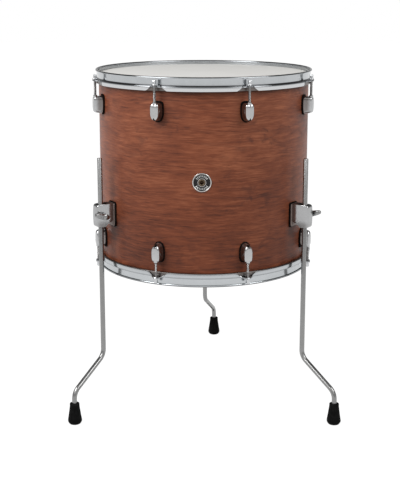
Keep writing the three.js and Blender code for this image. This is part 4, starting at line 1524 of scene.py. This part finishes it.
def makeLegs():
    bracket, gasket, screw, leg, foot = bracketForm(), gasketForm(), screwForm(), legForm(), footForm()
    for name in legNames:
        place = screwPlaces[name]
        turned = turnAbout("Z", azimuthOf(place))
        footLow, footHigh = nodeBox(name + "_foot")
        footPlace = (footLow + footHigh) / 2 - drumAxis
        aside = Vector((footPlace.x - place.x, footPlace.y - place.y, 0))
        swing = turnAbout("Z", azimuthOf(aside))
        atBracket = lift(bracketHeight) @ turned
        atScrew = standAt(place) @ turned
        atLeg = standAt((place.x, place.y, 0)) @ swing
        atFoot = standAt((footPlace.x, footPlace.y, 0)) @ swing
        clamp, assembly = name + "_clamp", name + "_leg_assembly"
        for piece, form, matrix, finish, body, slot, node in (
            ("Bracket", bracket, atBracket, "bracket", "drum", "cast_chrome", "_leg_bracket"),
            ("Gasket", gasket, atBracket, "gasket", "drum", "gasket_rubber", "_bracket_gasket"),
            ("ClampScrew", screw, atScrew, "screw", clamp, "screw_chrome", "_clamp_screw"),
            ("Leg", leg, atLeg, "leg", assembly, "leg_chrome", "_leg"),
            ("Foot", foot, atFoot, "rubber", assembly, "foot_rubber", "_foot"),
        ):
            makePiece(name + piece, moved(form, matrix), finishes[finish], body, slot, [name + node], 34)


makeLegs()
print("legs ready")

# Screws and washers inside the shell, which hold the lugs and brackets


def makeInnerScrews():
    size = {
        "seat": 7.6,  # outside of the shell to the back of the washers
        "washer": 7.0,
        "washerThickness": 1.2,
        "head": 4.6,
        "headHeight": 3.4,
        "lugSpread": 9.5,  # middle of a lug to each of its screws
        "bracketSpread": 15.0,
    }
    washer, head, thick = size["washer"], size["head"], size["washerThickness"]
    top = thick + size["headHeight"]
    outline = [(0, 0.05), (washer - 0.2, 0.05), (washer, 0.25), (washer, 1.0), (washer - 0.2, thick)]
    outline += [(head, thick), (head, top - 1.4), (head - 0.7, top - 0.4), (2.4, top), (0, top + 0.1)]
    screw = moved(lathe(outline, 24, False), turnAbout("X", -90))
    screw = moved(screw, standAt((0, size["seat"] - shellRadius, 0)))
    forms = []
    for height in (shellTop - lugSizes["drop"], shellBottom + lugSizes["drop"]):
        for side in (-1, 1):
            raised = moved(screw, lift(height + side * size["lugSpread"]))
            forms.append(aroundCircle(raised, lugCount, firstLug, lugStep, finishes["steel"]))
    for name in legNames:
        turned = turnAbout("Z", azimuthOf(screwPlaces[name]))
        for side in (-1, 1):
            forms.append(moved(screw, lift(bracketHeight + side * size["bracketSpread"]) @ turned))
    makePiece("innerScrews", joinForms(forms), finishes["steel"], "drum", "rod_chrome", (), 34)


makeInnerScrews()
print("inner screws ready")

# Stage, light and camera


def makeStage():
    stage = {"half": 14000.0, "height": -0.3, "glow": 0.92, "albedo": 0.15}
    half = stage["half"]
    around = ((-half, -half), (half, -half), (half, half), (-half, half))
    corners = [Vector((x, y, stage["height"])) for x, y in around]
    floor = bpy.data.objects.new("floorSheet", meshOf((corners, [(0, 1, 2, 3)]), "floorSheet"))
    bpy.context.scene.collection.objects.link(floor)
    material = bpy.data.materials.new("paleFloor")
    material.use_nodes = True
    sketch = Sketch(material.node_tree)
    sketch.tree.nodes.clear()
    path = sketch.tree.nodes.new("ShaderNodeLightPath")
    seen = Wire(sketch, path.outputs["Is Camera Ray"])
    seen = sketch.math("MAXIMUM", seen, Wire(sketch, path.outputs["Is Glossy Ray"]))
    seen = sketch.math("MAXIMUM", seen, Wire(sketch, path.outputs["Is Transmission Ray"]))
    paper = sketch.node("ShaderNodeBsdfDiffuse", None, {"Color": (stage["albedo"],) * 3 + (1,)})
    shining = {"Color": (1, 1, 1, 1), "Strength": seen * stage["glow"]}
    glow = sketch.node("ShaderNodeEmission", None, shining)
    both = sketch.node("ShaderNodeAddShader", None, {0: paper, 1: glow})
    ending = sketch.tree.nodes.new("ShaderNodeOutputMaterial")
    sketch.tree.links.new(both.socket, ending.inputs[0])
    floor.data.materials.append(material)


def makeWorld():
    light = {
        "fill": 0.24,
        "left": ((-0.66, -0.48, 0.58), 0.92),  # way to a soft light for the matt parts, and its strength
        "right": ((0.66, -0.48, 0.58), 0.50),
        "softness": (0.50, 0.96),
        "room": 0.10,  # how bright the room above the floor looks in metal
        "walls": 0.40,  # and its lower part
        "wallsTo": (0.16, 0.44),
        "horizon": (0.02, 0.07),  # where the bright ground ends
        "front": 1.25,  # the soft light in front, between two heights
        "frontLow": (0.22, 0.36),
        "frontHigh": (0.70, 0.86),
        "frontSide": (0.2, 0.6),
    }
    world = bpy.data.worlds.new("studio")
    world.use_nodes = True
    bpy.context.scene.world = world
    sketch = Sketch(world.node_tree)
    sketch.tree.nodes.clear()
    path = sketch.tree.nodes.new("ShaderNodeLightPath")
    seen = Wire(sketch, path.outputs["Is Camera Ray"])
    seen = sketch.math("MAXIMUM", seen, Wire(sketch, path.outputs["Is Transmission Ray"]))
    glossy = Wire(sketch, path.outputs["Is Glossy Ray"])
    direction = sketch.node("ShaderNodeTexCoord", None, None, "Generated")
    up = sketch.split(direction, "Z")
    horizon = 1 - sketch.range(up, *light["horizon"])
    front = sketch.range(up, *light["frontLow"]) * (1 - sketch.range(up, *light["frontHigh"]))
    front = front * light["front"] * sketch.range(0 - sketch.split(direction, "Y"), *light["frontSide"])
    walls = (1 - sketch.range(up, *light["wallsTo"])) * light["walls"]
    bright = sketch.math("MAXIMUM", sketch.math("MAXIMUM", horizon, front), walls)
    inMetal = light["room"] + bright * (1 - light["room"])
    onMatt = light["fill"]
    for way, power in (light["left"], light["right"]):
        vectors = {0: direction, 1: way}
        towards = sketch.node("ShaderNodeVectorMath", {"operation": "DOT_PRODUCT"}, vectors, "Value")
        onMatt = sketch.range(towards, *light["softness"]) * power + onMatt
    strength = seen + (1 - seen) * (glossy * inMetal + (1 - glossy) * onMatt)
    back = sketch.node("ShaderNodeBackground", None, {"Color": (1, 1, 1, 1), "Strength": strength})
    ending = sketch.tree.nodes.new("ShaderNodeOutputWorld")
    sketch.tree.links.new(back.socket, ending.inputs[0])


lamps = {
    "size": 900,
    "target": (0, 0, 520),
    "left": ((-1050, -800, 1500), 23),  # place and power
    "right": ((1050, -800, 1500), 14),
}


def makeLamp(name, place, power):
    data = bpy.data.lights.new(name, "AREA")
    data.shape = "SQUARE"
    data.size = inMetres(lamps["size"])
    data.energy = power
    lamp = bpy.data.objects.new(name, data)
    bpy.context.scene.collection.objects.link(lamp)
    at = (Vector(place) + drumAxis) / perMetre
    lamp.location = at
    aim = (Vector(lamps["target"]) + drumAxis) / perMetre - at
    lamp.rotation_euler = aim.to_track_quat("-Z", "Y").to_euler()


def makeCamera():
    view = {
        "focalPixels": 1014.58,  # focal length in pixels of the photograph's frame
        "frameHeight": 480,
        "centreRow": 195,  # pixel row of the view's axis
        "place": (31.97, -2214.66, 906.55),
        "yaw": -0.018,
        "pitch": 0.2046,
    }
    data = bpy.data.cameras.new("photoCamera")
    data.sensor_width = 36
    data.lens = view["focalPixels"] * data.sensor_width / view["frameHeight"]
    data.shift_y = (view["centreRow"] - view["frameHeight"] / 2) / view["frameHeight"]
    data.clip_start = 0.05
    data.clip_end = 60
    camera = bpy.data.objects.new("photoCamera", data)
    bpy.context.scene.collection.objects.link(camera)
    camera.location = (Vector(view["place"]) + drumAxis) / perMetre
    yaw, pitch = view["yaw"], view["pitch"]
    aim = Vector((math.sin(yaw) * math.cos(pitch), math.cos(yaw) * math.cos(pitch), -math.sin(pitch)))
    camera.rotation_euler = aim.to_track_quat("-Z", "Y").to_euler()
    bpy.context.scene.camera = camera


makeStage()
makeWorld()
makeLamp("leftLamp", *lamps["left"])
makeLamp("rightLamp", *lamps["right"])
makeCamera()
bpy.context.scene.view_settings.view_transform = "Standard"
print("stage ready")
